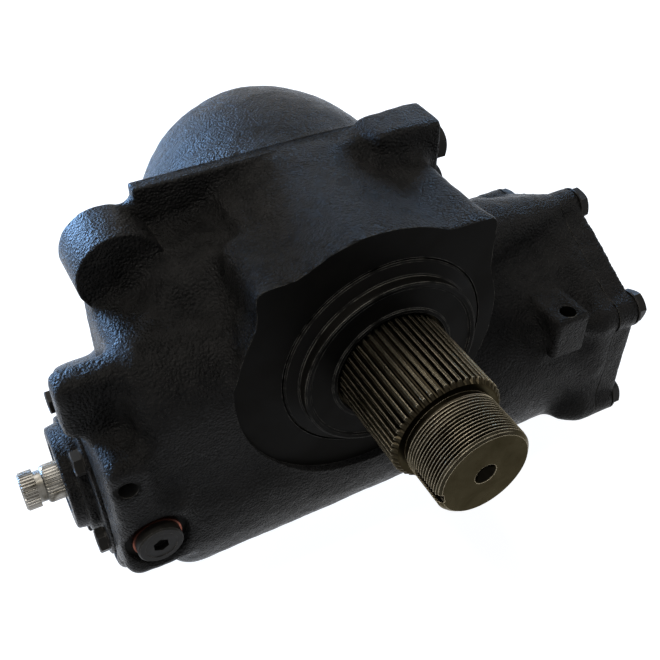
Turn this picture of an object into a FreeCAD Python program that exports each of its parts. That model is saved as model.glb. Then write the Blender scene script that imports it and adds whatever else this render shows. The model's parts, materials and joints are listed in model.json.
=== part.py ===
import FreeCAD, Part
import math
import os

import Sketcher

# Power steering gear of the recirculating ball kind, in millimetres.
# Frame: the output shaft's axis is the Y axis and its serrations start at y = 0 and run towards -Y.
# +X runs along the piston to the end cover, -X to the input shaft, and +Z is up.
# The piston's axis is parallel to X, behind and below the output shaft's.

doc = FreeCAD.newDocument("steering_gear")
sheet = doc.addObject("Spreadsheet::Sheet", "Sizes")

SIZES = [
    # the two axes
    ("axis_distance", 80, "output axis down to piston axis"),
    ("piston_offset", 82, "piston axis behind the serrations' inner end"),
    # output shaft
    ("serration_radius", 31.5, "outside radius of the output serrations"),
    ("serration_depth", 2.1, "depth of one serration groove"),
    ("serration_count", 48, "number of serrations"),
    ("serration_length", 48.3, "length of the serrations"),
    ("serration_chamfer", 2.4, "chamfer at the outer end of the serrations"),
    ("nut_thread_radius", 26, "outside radius of the nut thread"),
    ("nut_thread_length", 30.1, "length of the nut thread"),
    ("nut_thread_chamfer", 2.2, "chamfer at the shaft's end"),
    ("thread_relief", 1.6, "depth of the relief behind the thread"),
    ("relief_width", 3, "width of the relief behind the thread"),
    ("centre_hole_radius", 4, "centre hole in the shaft's end"),
    ("centre_hole_depth", 12, "depth of the centre hole"),
    ("lock_slot_width", 6, "slot across the thread that takes the nut's staked lip"),
    ("lock_slot_depth", 3.2, "depth of the lock slot"),
    ("lock_slot_length", 20, "length of the lock slot"),
    ("journal_radius", 32.5, "front journal of the output shaft"),
    ("rear_journal_radius", 27.5, "rear journal of the output shaft"),
    ("rear_journal_length", 34, "length of the rear journal"),
    ("hub_radius", 33.5, "hub that carries the sector teeth"),
    # rack and sector
    ("gear_module", 10, "module of the rack and the sector"),
    ("sector_pitch_radius", 45, "pitch radius of the sector"),
    ("addendum", 8, "tooth height above the pitch line"),
    ("dedendum", 10, "tooth depth below the pitch line"),
    ("pressure_angle", 25, "flank angle of the rack"),
    ("backlash", 0.4, "tooth thickness left off for play"),
    ("tooth_width", 58, "width of the teeth along the output axis"),
    ("rack_half_length", 63.5, "middle of the rack to its end blocks"),
    # piston
    ("piston_radius", 52.35, "outside radius of the piston"),
    ("piston_left", 68, "output axis to the piston's open end"),
    ("piston_right", 118, "output axis to the piston's closed end"),
    ("piston_chamfer", 3, "chamfer on the piston's ends"),
    ("piston_wall", 14, "end wall of the piston beyond the screw bore"),
    ("nut_bore_radius", 16.5, "bore of the piston round the screw"),
    ("tube_slot_depth", 19.35, "depth of the flat that the return tube lies on"),
    ("ring_groove_depth", 3.4, "depth of the piston ring groove"),
    ("ring_width", 5, "width of the piston ring"),
    ("ring_place", 100, "output axis to the piston ring"),
    ("running_gap", 0.05, "radial clearance of running fits"),
    ("seat_gap", 0.02, "clearance of parts that seat on each other"),
    # ball screw
    ("screw_lead", 14.137, "travel of the piston in one turn of the screw"),
    ("screw_radius", 14, "outside radius of the screw"),
    ("ball_circle_radius", 15.5, "radius at which the balls run"),
    ("ball_radius", 4.3, "radius of one ball"),
    ("ball_gap", 0.25, "clearance between a ball and its groove"),
    ("ball_count", 28, "balls in the working turns"),
    ("ball_turns", 2.5, "working turns of the ball circuit"),
    ("screw_tip", 60, "output axis to the screw's free end"),
    ("screw_bore_radius", 6.2, "bore for the torsion bar"),
    ("return_tube_radius", 5.6, "outside radius of the ball return tube"),
    ("return_tube_bore", 4.6, "bore of the ball return tube"),
    ("clamp_thickness", 2.2, "strap over the return tube"),
    ("clamp_half_width", 16, "half the width of that strap"),
    ("clamp_half_length", 7, "half the length of that strap"),
    ("clamp_screw_radius", 2.5, "screws of the strap"),
    ("clamp_screw_place", 11.5, "screws from the middle of the strap"),
    # valve
    ("valve_wall", 108, "output axis to the left end of the cylinder"),
    ("valve_wall_thickness", 3, "wall between the cylinder and the valve"),
    ("valve_wall_bore", 24, "opening in that wall for the screw"),
    ("thrust_bearing_length", 4, "thrust bearing with its two washers"),
    ("thrust_washer", 1, "thickness of a thrust washer"),
    ("thrust_roller_count", 16, "rollers in one thrust bearing"),
    ("valve_bore_radius", 34, "bore of the valve chamber"),
    ("sleeve_radius", 33.6, "outside radius of the valve sleeve"),
    ("sleeve_length", 18, "length of the valve sleeve"),
    ("sleeve_ring_width", 2, "width of a sealing ring on the sleeve"),
    ("sleeve_ring_depth", 2.2, "depth of its groove"),
    ("screw_head_radius", 33, "collar of the screw that the bearing carries"),
    ("screw_head_length", 6, "length of the collar"),
    ("bar_radius", 4.6, "torsion bar's middle"),
    ("bar_pin_radius", 2, "cross pins of the torsion bar"),
    ("bar_pin_play", 0.5, "play of the pin at the screw's end"),
    ("input_end", 192.5, "output axis to the input shaft's free end"),
    ("input_radius", 11.2, "outside radius of the input serrations"),
    ("input_groove_radius", 9.2, "clamp bolt groove in the input shaft"),
    ("input_journal_radius", 14, "input shaft where the seal runs"),
    ("spool_radius", 18, "input shaft inside the valve sleeve"),
    ("input_serrations", 36, "number of input serrations"),
    # input cover
    ("input_cover_radius", 30.5, "outer rim of the input cover"),
    ("input_cover_step", 34.5, "second step of the input cover"),
    ("input_flange_radius", 51, "flange of the input cover"),
    ("input_face", 170.5, "output axis to the input cover's outer face"),
    ("housing_left", 152, "output axis to the housing's left face"),
    ("input_bolt_circle", 43.5, "radius of the input cover's bolt circle"),
    ("input_bolt_count", 5, "bolts in the input cover"),
    # casting
    ("barrel_radius", 73.7, "outside of the cylinder casting"),
    ("drum_radius", 77, "outside of the sector housing"),
    ("drum_x", -7, "middle of the sector housing"),
    ("drum_z", 3, "middle of the sector housing"),
    ("dome_radius", 82, "outside of the dome"),
    ("front_face", 13.5, "machined front face behind the serrations' inner end"),
    ("valve_front", 13, "front of the valve housing"),
    ("valve_shoulder", 134, "output axis to the valve housing's upper left end"),
    ("shoulder_top", 36, "top of the valve housing"),
    ("shoulder_round", 40, "round of the valve housing's upper front"),
    ("valve_body_radius", 62, "left end of the casting round the input"),
    ("dome_start", 140, "widest place of the dome"),
    ("dome_reach", 113, "half length of the dome's ellipsoid"),
    ("dome_back", 204, "flat back of the dome"),
    ("mount_plane", 110, "machined back of the mounting bosses"),
    ("chamber_radius", 57, "bore of the sector chamber"),
    ("chamber_back", 116, "back wall of the sector chamber"),
    ("end_joint", 166, "output axis to the end cover's joint"),
    ("end_bolt_circle", 76, "radius of the end cover's bolt circle"),
    ("end_boss_radius", 12, "round of the end flange about each bolt"),
    ("end_flange_thickness", 11, "end flange of the casting"),
    ("end_cover_thickness", 16, "thickness of the end cover"),
    ("end_spigot_depth", 9, "how far the end cover reaches into the bore"),
    # fasteners
    ("bolt_radius", 6, "shank of the cover bolts"),
    ("bolt_flats", 19, "width across the flats of a cover bolt"),
    ("bolt_head_height", 8, "height of a cover bolt's head"),
    ("bolt_flange_radius", 12, "washer face of a cover bolt"),
    ("bolt_length", 34, "shank length of an end cover bolt"),
    ("input_bolt_radius", 4, "shank of an input cover bolt"),
    ("input_bolt_flats", 13, "width across the flats of an input cover bolt"),
    ("input_bolt_head", 6, "height of an input cover bolt's head"),
    ("input_bolt_length", 22, "shank length of an input cover bolt"),
    ("bolt_hole_gap", 0.3, "clearance round a bolt"),
    # front carrier, seals and bearings
    ("recess_radius", 60, "recess in the front face"),
    ("recess_depth", 5, "depth of that recess"),
    ("carrier_gap", 1, "clearance between the carrier and the piston"),
    ("carrier_hub_radius", 45, "carrier round the front bearing"),
    ("carrier_ring_width", 3.6, "width of that groove"),
    ("front_roller_radius", 3, "needle of the front bearing"),
    ("rear_bearing_length", 24, "length of the rear bearing"),
    ("bearing_shell", 2, "wall of a needle bearing's shell"),
    ("needle_count", 18, "needles in a bearing"),
    ("input_roller_radius", 1.5, "needle of the input bearing"),
    ("input_bearing_length", 7, "length of the input bearing"),
    ("seal_width", 7, "width of the output shaft's seal"),
    ("seal_radius", 45, "outside radius of that seal"),
    ("snap_ring_width", 2.4, "width of the carrier's snap ring"),
    ("snap_ring_reach", 3, "radial height of the snap ring"),
    ("dust_cover_radius", 51.7, "front rim of the dust cover"),
    ("dust_cover_front", 3.9, "front face of the dust cover"),
    ("adjuster_radius", 8, "thread of the adjusting screw"),
    ("adjuster_head_radius", 11, "head of the adjusting screw"),
    ("adjuster_head_height", 6, "height of that head"),
    ("adjuster_pocket_radius", 14, "pocket in the shaft for that head"),
    ("retainer_length", 6, "ring that holds the head in its pocket"),
    ("locknut_flats", 24, "width across the flats of the locknut"),
    ("locknut_height", 9, "height of the locknut"),
    ("adjuster_stickout", 6, "screw beyond its locknut"),
    # bosses, ports and lugs
    ("left_boss_x", -114, "left mounting boss"),
    ("left_boss_z", 48, "left mounting boss"),
    ("left_boss_radius", 23.5, "left mounting boss"),
    ("left_boss_front", 80, "front face of the left mounting boss"),
    ("lug_x", -78, "upper left mounting lug"),
    ("lug_z", 61, "upper left mounting lug"),
    ("mount_hole_radius", 7, "tapping size of the mounting threads"),
    ("lug_hole_depth", 14, "depth of the mounting thread in the upper left lug"),
    ("mount_hole_depth", 24, "depth of the mounting threads"),
    ("port_face", 74, "machined face of the hydraulic ports"),
    ("port_y", 99, "hydraulic ports"),
    ("port_z", 62, "upper hydraulic port"),
    ("port_spacing", 25, "upper port down to the lower one"),
    ("port_radius", 8, "thread of a hydraulic port"),
    ("port_depth", 24, "depth of a hydraulic port"),
    ("plug_x", -136, "relief valve plug"),
    ("plug_z", -72, "relief valve plug"),
    ("plug_radius", 12.5, "head of the relief valve plug"),
    ("plug_bore_radius", 9, "bore of the relief valve"),
    ("plug_seat", 14, "spot face under the plug's head"),
    ("plug_head_height", 6, "height of the plug's head"),
    ("plug_socket_flats", 8, "width across the flats of the plug's socket"),
    ("plug_stem_length", 12, "threaded stem of the plug"),
    ("relief_bore_depth", 28, "depth of the relief valve's bore"),
    ("relief_spring_radius", 5.6, "middle of the relief spring's wire"),
    ("relief_wire_radius", 0.9, "wire of the relief spring"),
    ("relief_ball_radius", 5.5, "ball of the relief valve"),
    ("lug_top", -20, "top of the bracket lug on the barrel"),
]
for row, (alias, value, note) in enumerate(SIZES, start=1):
    sheet.set(f"A{row}", alias)
    sheet.set(f"B{row}", str(value))
    sheet.set(f"C{row}", note)
    sheet.setAlias(f"B{row}", alias)
doc.recompute()

NAMES = sorted((alias for alias, _, _ in SIZES), key=len, reverse=True)
PIECES = []
PISTON_Y = "piston_offset"
PISTON_Z = "-axis_distance"


def size(text):
    """The value of an expression written with the sheet's names."""
    return float(sheet.evalExpression(text))


def linked(text):
    """The same expression with each name read from the sheet."""
    words, word = [], ""
    for letter in text + " ":
        if letter.isalnum() or letter == "_":
            word += letter
            continue
        words.append("Sizes." + word if word in NAMES else word)
        words.append(letter)
        word = ""
    return "".join(words).strip()


def bind(obj, **sizes):
    for prop, text in sizes.items():
        obj.setExpression(prop.replace("__", "."), linked(text))
    return obj


def place(obj, x="0", y="0", z="0", turn=None):
    """Puts an object at a place that follows the sheet, turned by a fixed rotation."""
    if turn is not None:
        obj.Placement = FreeCAD.Placement(FreeCAD.Vector(), turn)
    return bind(obj, Placement__Base__x=x, Placement__Base__y=y, Placement__Base__z=z)


ALONG = {
    "+X": FreeCAD.Rotation(FreeCAD.Vector(0, 1, 0), 90),
    "-X": FreeCAD.Rotation(FreeCAD.Vector(0, 1, 0), -90),
    "+Y": FreeCAD.Rotation(FreeCAD.Vector(1, 0, 0), -90),
    "-Y": FreeCAD.Rotation(FreeCAD.Vector(1, 0, 0), 90),
    "+Z": FreeCAD.Rotation(),
    "-Z": FreeCAD.Rotation(FreeCAD.Vector(1, 0, 0), 180),
}


def rod(name, radius, length, x="0", y="0", z="0", along="+X"):
    obj = doc.addObject("Part::Cylinder", name)
    bind(obj, Radius=radius, Height=length)
    return place(obj, x, y, z, ALONG[along])


def taper(name, radius, end_radius, length, x="0", y="0", z="0", along="+X"):
    obj = doc.addObject("Part::Cone", name)
    bind(obj, Radius1=radius, Radius2=end_radius, Height=length)
    return place(obj, x, y, z, ALONG[along])


def block(name, low, high):
    """A box from its lowest to its highest corner, each given as three expressions."""
    obj = doc.addObject("Part::Box", name)
    spans = [f"({b}) - ({a})" for a, b in zip(low, high)]
    bind(obj, Length=spans[0], Width=spans[1], Height=spans[2])
    return place(obj, *low)


def hexagon(name, flats, height, x="0", y="0", z="0", along="+X"):
    obj = doc.addObject("Part::Prism", name)
    obj.Polygon = 6
    bind(obj, Circumradius=f"({flats}) / sqrt(3)", Height=height)
    return place(obj, x, y, z, ALONG[along])


def rounded(name, base, radius, picks=None):
    """Rounds every edge of a shape, or those that picks accepts."""
    obj = doc.addObject("Part::Fillet", name)
    obj.Base = base
    doc.recompute()
    edges = enumerate(base.Shape.Edges, start=1)
    chosen = [n for n, edge in edges if picks is None or picks(edge)]
    obj.Edges = [(n, size(radius), size(radius)) for n in chosen]
    return obj


def fuse(name, *shapes):
    obj = doc.addObject("Part::MultiFuse", name)
    obj.Shapes = list(shapes)
    obj.Refine = True
    return obj


def cut(name, base, *tools):
    obj = doc.addObject("Part::Cut", name)
    obj.Base = base
    obj.Tool = tools[0] if len(tools) == 1 else fuse(name + "_tools", *tools)
    return obj


def group(name, *shapes):
    obj = doc.addObject("Part::Compound", name)
    obj.Links = list(shapes)
    return obj


def feature(name, shape):
    obj = doc.addObject("Part::Feature", name)
    obj.Shape = shape
    return obj


def turned(name, profile, along="X", x="0", y="0", z="0"):
    """A body of revolution about X or Y through a point.
    The profile is a list of corners, each one the distance along the axis and the radius."""
    body = doc.addObject("PartDesign::Body", name)
    sketch = body.newObject("Sketcher::SketchObject", name + "_profile")
    planes = {o.Role: o for o in body.Origin.OriginFeatures}
    sketch.AttachmentSupport = [(planes["XY_Plane"], "")]
    sketch.MapMode = "FlatFace"
    corners = [(a, r) if along == "X" else (r, a) for a, r in profile]
    points = [FreeCAD.Vector(size(a), size(b), 0) for a, b in corners]
    count = len(points)
    lines = [Part.LineSegment(points[i], points[(i + 1) % count]) for i in range(count)]
    sketch.addGeometry(lines, False)
    for i in range(count):
        sketch.addConstraint(Sketcher.Constraint("Coincident", i, 2, (i + 1) % count, 1))
    for i, corner in enumerate(corners):
        for kind, text, value in zip(("DistanceX", "DistanceY"), corner, points[i]):
            index = sketch.addConstraint(Sketcher.Constraint(kind, i, 1, value))
            sketch.setExpression(f"Constraints[{index}]", linked(text))
    spin = body.newObject("PartDesign::Revolution", name + "_turned")
    spin.Profile = sketch
    spin.ReferenceAxis = (sketch, ["H_Axis" if along == "X" else "V_Axis"])
    spin.Angle = 360
    sketch.Visibility = False
    place(body, x, y, z)
    return body


def turned_on_piston_axis(name, profile):
    return turned(name, profile, "X", "0", PISTON_Y, PISTON_Z)


def piston_rod(name, radius, length, x, along="+X"):
    return rod(name, radius, length, x, PISTON_Y, PISTON_Z, along)


def grooved(body, name, plane, corners, length, count, axis, start="0", reverse=False):
    """Pockets one straight groove into a body and repeats it round an axis of the body."""
    planes = {o.Role: o for o in body.Origin.OriginFeatures}
    sketch = body.newObject("Sketcher::SketchObject", name + "_profile")
    sketch.AttachmentSupport = [(planes[plane], "")]
    sketch.MapMode = "FlatFace"
    bind(sketch, AttachmentOffset__Base__z=start)
    points = [FreeCAD.Vector(size(a), size(b), 0) for a, b in corners]
    for i in range(len(points)):
        line = Part.LineSegment(points[i], points[(i + 1) % len(points)])
        sketch.addGeometry(line, False)
    for i in range(len(points)):
        after = (i + 1) % len(points)
        sketch.addConstraint(Sketcher.Constraint("Coincident", i, 2, after, 1))
    for i, corner in enumerate(corners):
        for kind, text, value in zip(("DistanceX", "DistanceY"), corner, points[i]):
            index = sketch.addConstraint(Sketcher.Constraint(kind, i, 1, value))
            sketch.setExpression(f"Constraints[{index}]", linked(text))
    pocket = body.newObject("PartDesign::Pocket", name)
    pocket.Profile = sketch
    pocket.Reversed = reverse
    bind(pocket, Length=length)
    pattern = body.newObject("PartDesign::PolarPattern", name + "_round")
    pattern.Originals = [pocket]
    pattern.Axis = (planes[axis], [""])
    pattern.Angle = 360
    bind(pattern, Occurrences=count)
    body.Tip = pattern
    return body


def piece(obj, label):
    """Marks an object as a finished sub-part under its own name."""
    obj.Label = label
    PIECES.append(obj)
    return obj


# Output shaft: nut thread, serrations, journals and the hub of the sector

SHAFT_TIP = "-(serration_length + nut_thread_length)"
HUB_FRONT = "piston_offset - tooth_width / 2 - 2"
HUB_BACK = "piston_offset + tooth_width / 2 + 2"
REAR_END = "piston_offset + tooth_width / 2 + 2 + rear_journal_length"


def sector_tooth():
    """The outline of one sector tooth on the pitch radius, pointing down, from the involute."""
    pitch = size("sector_pitch_radius")
    slope = math.radians(size("pressure_angle"))
    base = pitch * math.cos(slope)
    tip = pitch + size("addendum")
    root = size("hub_radius") - 1.5
    thickness = math.pi * size("gear_module") / 2 - size("backlash")
    half_angle = thickness / 2 / pitch + math.tan(slope) - slope

    def on_flank(radius):
        angle = math.acos(min(1.0, base / radius))
        turn = half_angle - (math.tan(angle) - angle)
        return FreeCAD.Vector(radius * math.sin(turn), 0, -radius * math.cos(turn))

    steps = 8
    start = max(base, root)
    flank = [on_flank(start + (tip - start) * i / steps) for i in range(steps + 1)]
    foot_turn = half_angle
    foot = FreeCAD.Vector(root * math.sin(foot_turn), 0, -root * math.cos(foot_turn))
    other = [FreeCAD.Vector(-p.x, 0, p.z) for p in flank]
    other_foot = FreeCAD.Vector(-foot.x, 0, foot.z)
    right = Part.BSplineCurve()
    right.interpolate(flank)
    left = Part.BSplineCurve()
    left.interpolate(other[::-1])
    crown = Part.Arc(flank[-1], FreeCAD.Vector(0, 0, -tip), other[-1])
    edges = [
        Part.LineSegment(foot, flank[0]).toShape(),
        right.toShape(),
        crown.toShape(),
        left.toShape(),
        Part.LineSegment(other[0], other_foot).toShape(),
        Part.LineSegment(other_foot, foot).toShape(),
    ]
    width = FreeCAD.Vector(0, size("tooth_width"), 0)
    return Part.Face(Part.Wire(edges)).extrude(width)


def make_output_shaft():
    shaft = turned("output_shaft_turning", [
        (SHAFT_TIP, "0"),
        (SHAFT_TIP, "nut_thread_radius - nut_thread_chamfer"),
        (SHAFT_TIP + " + nut_thread_chamfer", "nut_thread_radius"),
        ("-(serration_length + relief_width)", "nut_thread_radius"),
        ("-(serration_length + relief_width)", "nut_thread_radius - thread_relief"),
        ("-serration_length", "nut_thread_radius - thread_relief"),
        ("-serration_length", "serration_radius - serration_chamfer"),
        ("-serration_length + serration_chamfer", "serration_radius"),
        ("0", "serration_radius"),
        ("1", "journal_radius"),
        (HUB_FRONT, "journal_radius"),
        (HUB_FRONT, "hub_radius"),
        (HUB_BACK, "hub_radius"),
        (HUB_BACK, "rear_journal_radius"),
        (REAR_END + " - 1.5", "rear_journal_radius"),
        (REAR_END, "rear_journal_radius - 1.5"),
        (REAR_END, "0"),
    ], along="Y")
    half_top = "pi * serration_radius / serration_count * 0.62"
    half_root = "pi * serration_radius / serration_count * 0.2"
    grooved(shaft, "output_serration", "XZ_Plane", [
        (f"-({half_top})", "serration_radius + 0.4"),
        (half_top, "serration_radius + 0.4"),
        (half_root, "serration_radius - serration_depth"),
        (f"-({half_root})", "serration_radius - serration_depth"),
    ], "serration_length", "serration_count", "Y_Axis", reverse=True)
    tooth = sector_tooth()
    pitch_turn = math.degrees(math.pi * size("gear_module") / size("sector_pitch_radius"))
    teeth = []
    for number in (-1, 0, 1):
        solid = feature(f"sector_tooth_{number + 2}", tooth)
        turn = FreeCAD.Rotation(FreeCAD.Vector(0, 1, 0), number * pitch_turn)
        place(solid, "0", "piston_offset - tooth_width / 2", "0", turn)
        teeth.append(solid)
    blank = fuse("output_shaft_blank", shaft, *teeth)
    centre_hole = rod("centre_hole", "centre_hole_radius", "centre_hole_depth",
                      y=SHAFT_TIP, along="+Y")
    countersink = taper("centre_countersink", "centre_hole_radius + 2", "centre_hole_radius",
                        "2", y=SHAFT_TIP, along="+Y")
    slot = doc.addObject("Part::Box", "lock_slot")
    bind(slot, Length="lock_slot_depth + 4", Width="lock_slot_length", Height="lock_slot_width")
    slot.Placement = FreeCAD.Placement(
        FreeCAD.Vector(),
        FreeCAD.Rotation(FreeCAD.Vector(0, 1, 0), 160),
        FreeCAD.Vector(),
    )
    place(slot,
          "(nut_thread_radius - lock_slot_depth) * cos(160) - lock_slot_width / 2 * sin(160)",
          SHAFT_TIP,
          "-(nut_thread_radius - lock_slot_depth) * sin(160) - lock_slot_width / 2 * cos(160)")
    pocket = rod("adjuster_pocket", "adjuster_pocket_radius",
                 "adjuster_head_height + retainer_length", y=REAR_END, along="-Y")
    shaft = cut("output_shaft_cut", blank, centre_hole, countersink, slot, pocket)
    piece(shaft, "sector_shaft")


# Rack piston with its ring, the ball train and the return tube

TUBE_HALF = "(ball_turns * screw_lead / 2)"
TUBE_FLAT = "(piston_radius - tube_slot_depth)"
TUBE_Z = f"-axis_distance - {TUBE_FLAT} - return_tube_radius - 0.1"


def rack_gap():
    """The space above the rack's teeth, as wide as the teeth, cut out of the piston."""
    pitch = math.pi * size("gear_module")
    slope = math.tan(math.radians(size("pressure_angle")))
    line = -size("sector_pitch_radius")
    top = line + size("addendum")
    root = line - size("dedendum")
    half = size("rack_half_length")
    ceiling = size("piston_radius - axis_distance + 4")
    space_half = pitch / 4
    root_half = space_half - size("dedendum") * slope
    top_half = space_half + size("addendum") * slope
    outline = [(-half, ceiling), (-half, root)]
    for number in (-1, 0, 1):
        middle = number * pitch
        if number == -1:
            end_tooth = -1.5 * pitch
            outline += [
                (end_tooth - pitch / 4 - size("dedendum") * slope, root),
                (end_tooth - pitch / 4 + size("addendum") * slope, top),
            ]
        outline += [
            (middle - top_half, top),
            (middle - root_half, root),
            (middle + root_half, root),
            (middle + top_half, top),
        ]
        if number == 1:
            end_tooth = 1.5 * pitch
            outline += [
                (end_tooth + pitch / 4 - size("addendum") * slope, top),
                (end_tooth + pitch / 4 + size("dedendum") * slope, root),
            ]
    outline += [(half, root), (half, ceiling)]
    front = size("piston_offset - tooth_width / 2 - 12")
    points = [FreeCAD.Vector(x, front, z) for x, z in outline]
    face = Part.Face(Part.makePolygon(points + points[:1]))
    return face.extrude(FreeCAD.Vector(0, size("tooth_width + 24"), 0))


def groove_sweep(name, start, turns, outward):
    """A helical groove's cutter about X: two straight flanks that the balls touch at 45 degrees.
    It opens towards the axis for the nut and away from it for the screw."""
    lead = size("screw_lead")
    ball_path = size("ball_circle_radius")
    reach = size("ball_radius + ball_gap") * math.sqrt(2)
    mouth = 0.45
    side = 1 if outward else -1
    apex = FreeCAD.Vector(ball_path + side * reach, 0, 0)
    foot = ball_path - side * mouth
    half = reach + mouth
    corners = [apex, FreeCAD.Vector(foot, 0, -half), FreeCAD.Vector(foot, 0, half), apex]
    helix = Part.makeHelix(lead, lead * turns, ball_path)
    sweep = Part.Wire(helix).makePipeShell([Part.makePolygon(corners)], True, True)
    along = FreeCAD.Rotation(FreeCAD.Vector(0, 1, 0), 90)
    phase = FreeCAD.Rotation(FreeCAD.Vector(0, 0, 1), 360 * start / lead)
    return place(feature(name, sweep), f"{start}", PISTON_Y, PISTON_Z, along.multiply(phase))


def ball_centre(along):
    """A point of the ball path at a distance along X from the output axis."""
    turn = 2 * math.pi * along / size("screw_lead")
    radius = size("ball_circle_radius")
    return FreeCAD.Vector(along, radius * math.sin(turn), -radius * math.cos(turn))


def make_piston():
    body = turned_on_piston_axis("piston_turning", [
        ("-piston_left", "nut_bore_radius + 4"),
        ("-piston_left", "piston_radius - piston_chamfer"),
        ("-piston_left + piston_chamfer", "piston_radius"),
        ("ring_place", "piston_radius"),
        ("ring_place", "piston_radius - ring_groove_depth"),
        ("ring_place + ring_width", "piston_radius - ring_groove_depth"),
        ("ring_place + ring_width", "piston_radius"),
        ("piston_right - piston_chamfer", "piston_radius"),
        ("piston_right", "piston_radius - piston_chamfer"),
        ("piston_right", "0"),
        ("piston_right - piston_wall", "0"),
        ("piston_right - piston_wall", "nut_bore_radius"),
        ("-piston_left + 4", "nut_bore_radius"),
    ])
    gap = feature("rack_gap", rack_gap())
    start = -size("ball_turns * screw_lead / 2")
    groove = groove_sweep("nut_groove", start, size("ball_turns"), True)
    slot = block("return_tube_slot",
                 (f"-({TUBE_HALF}) - return_tube_radius - 1",
                  "piston_offset - clamp_half_width - 1", "-axis_distance - piston_radius - 1"),
                 (f"{TUBE_HALF} + return_tube_radius + 1",
                  "piston_offset + clamp_half_width + 1", f"-axis_distance - {TUBE_FLAT}"))
    holes = []
    for number, side in enumerate((-1, 1), start=1):
        holes.append(rod(f"tube_hole_{number}", "return_tube_radius + seat_gap",
                         TUBE_FLAT, f"{side} * {TUBE_HALF}", PISTON_Y, PISTON_Z, "-Z"))
        holes.append(rod(f"clamp_screw_hole_{number}", "clamp_screw_radius + seat_gap",
                         f"{TUBE_FLAT} - nut_bore_radius - 6", "0",
                         f"piston_offset + {side} * clamp_screw_place",
                         "-axis_distance - nut_bore_radius - 6", "-Z"))
    piece(cut("rack_piston_cut", body, gap, groove, slot, *holes), "rack_piston")


def make_piston_ring():
    ring = turned_on_piston_axis("piston_ring_turning", [
        ("ring_place + seat_gap", "piston_radius - ring_groove_depth + seat_gap"),
        ("ring_place + seat_gap", "piston_radius + running_gap / 2"),
        ("ring_place + ring_width - seat_gap", "piston_radius + running_gap / 2"),
        ("ring_place + ring_width - seat_gap", "piston_radius - ring_groove_depth + seat_gap"),
    ])
    piece(ring, "piston_ring")


def make_ball_train():
    count = int(size("ball_count"))
    length = size("ball_turns * screw_lead")
    balls = []
    for number in range(count):
        centre = ball_centre(-length / 2 + length * (number + 0.5) / count)
        ball = doc.addObject("Part::Sphere", f"ball_{number + 1}")
        bind(ball, Radius="ball_radius")
        place(ball, str(centre.x), f"piston_offset + ({centre.y})",
              f"-axis_distance + ({centre.z})")
        balls.append(ball)
    piece(group("ball_train_group", *balls), "ball_train")


def tube_shape(name, radius, leg_top):
    """A U of round bar: a straight run with a ball-shaped corner and a leg at each end."""
    run = rod(name + "_run", radius, f"2 * {TUBE_HALF}", f"-{TUBE_HALF}", PISTON_Y, TUBE_Z)
    shapes = [run]
    for number, side in enumerate((-1, 1), start=1):
        corner = doc.addObject("Part::Sphere", f"{name}_corner_{number}")
        bind(corner, Radius=radius)
        place(corner, f"{side} * {TUBE_HALF}", PISTON_Y, TUBE_Z)
        leg = rod(f"{name}_leg_{number}", radius, f"({leg_top}) - ({TUBE_Z})",
                  f"{side} * {TUBE_HALF}", PISTON_Y, TUBE_Z, "+Z")
        shapes += [corner, leg]
    return fuse(name, *shapes)


def make_return_tube():
    """The tube under the piston that brings the balls back, with its strap and two screws."""
    outside = tube_shape("return_tube_outside", "return_tube_radius",
                         "-axis_distance - nut_bore_radius - 6")
    inside = tube_shape("return_tube_inside", "return_tube_bore",
                        "-axis_distance - nut_bore_radius")
    piece(cut("return_tube_cut", outside, inside), "return_tube")
    floor = f"-axis_distance - {TUBE_FLAT}"
    under = floor + " - 2 * return_tube_radius - 0.2"
    strap = block("strap_block",
                  ("-clamp_half_length", "piston_offset - clamp_half_width",
                   under + " - clamp_thickness"),
                  ("clamp_half_length", "piston_offset + clamp_half_width",
                   floor + " - 0.05"))
    room = block("strap_room",
                 ("-clamp_half_length - 1", "piston_offset - return_tube_radius - 0.4",
                  under),
                 ("clamp_half_length + 1", "piston_offset + return_tube_radius + 0.4",
                  floor + " + 1"))
    holes, screws = [], []
    for number, side in enumerate((-1, 1), start=1):
        y = f"piston_offset + {side} * clamp_screw_place"
        seat = under + " - clamp_thickness"
        holes.append(rod(f"strap_hole_{number}", "clamp_screw_radius + 0.2", "30",
                         "0", y, seat + " - 1", "+Z"))
        screws.append(fuse(
            f"strap_screw_{number}",
            rod(f"strap_screw_head_{number}", "clamp_screw_radius + 1.8", "2.4", "0", y, seat,
                "-Z"),
            rod(f"strap_screw_shank_{number}", "clamp_screw_radius",
                f"-axis_distance - nut_bore_radius - 6.5 - ({seat})", "0", y, seat, "+Z")))
    piece(cut("strap_cut", strap, room, *holes), "return_tube_strap")
    piece(group("strap_screw_group", *screws), "strap_screws")


# Screw, valve sleeve, torsion bar and input shaft

HEAD_RIGHT = "-(valve_wall + valve_wall_thickness + thrust_bearing_length)"
SLEEVE_RIGHT = HEAD_RIGHT + " - screw_head_length"
SLEEVE_LEFT = SLEEVE_RIGHT + " - sleeve_length"
INPUT_PIN_X = "-housing_left - 5"
SCREW_PIN_X = "screw_tip - 13"


def make_screw():
    body = turned_on_piston_axis("screw_turning", [
        (SLEEVE_RIGHT, "screw_bore_radius"),
        (SLEEVE_RIGHT, "screw_head_radius"),
        (HEAD_RIGHT, "screw_head_radius"),
        (HEAD_RIGHT, "screw_radius"),
        ("screw_tip - 2", "screw_radius"),
        ("screw_tip", "screw_radius - 2"),
        ("screw_tip", "screw_bore_radius"),
    ])
    reach = size("ball_turns * screw_lead / 2 + sector_pitch_radius * pi / 4 + 1.5")
    turns = 2 * reach / size("screw_lead")
    groove = groove_sweep("screw_groove", -reach, turns, False)
    pin = cross_hole("screw_pin_hole", "bar_pin_radius", SCREW_PIN_X)
    threaded = cut("screw_threaded", body, groove)
    piece(cut("screw_cut", threaded, pin), "worm_screw")


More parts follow.
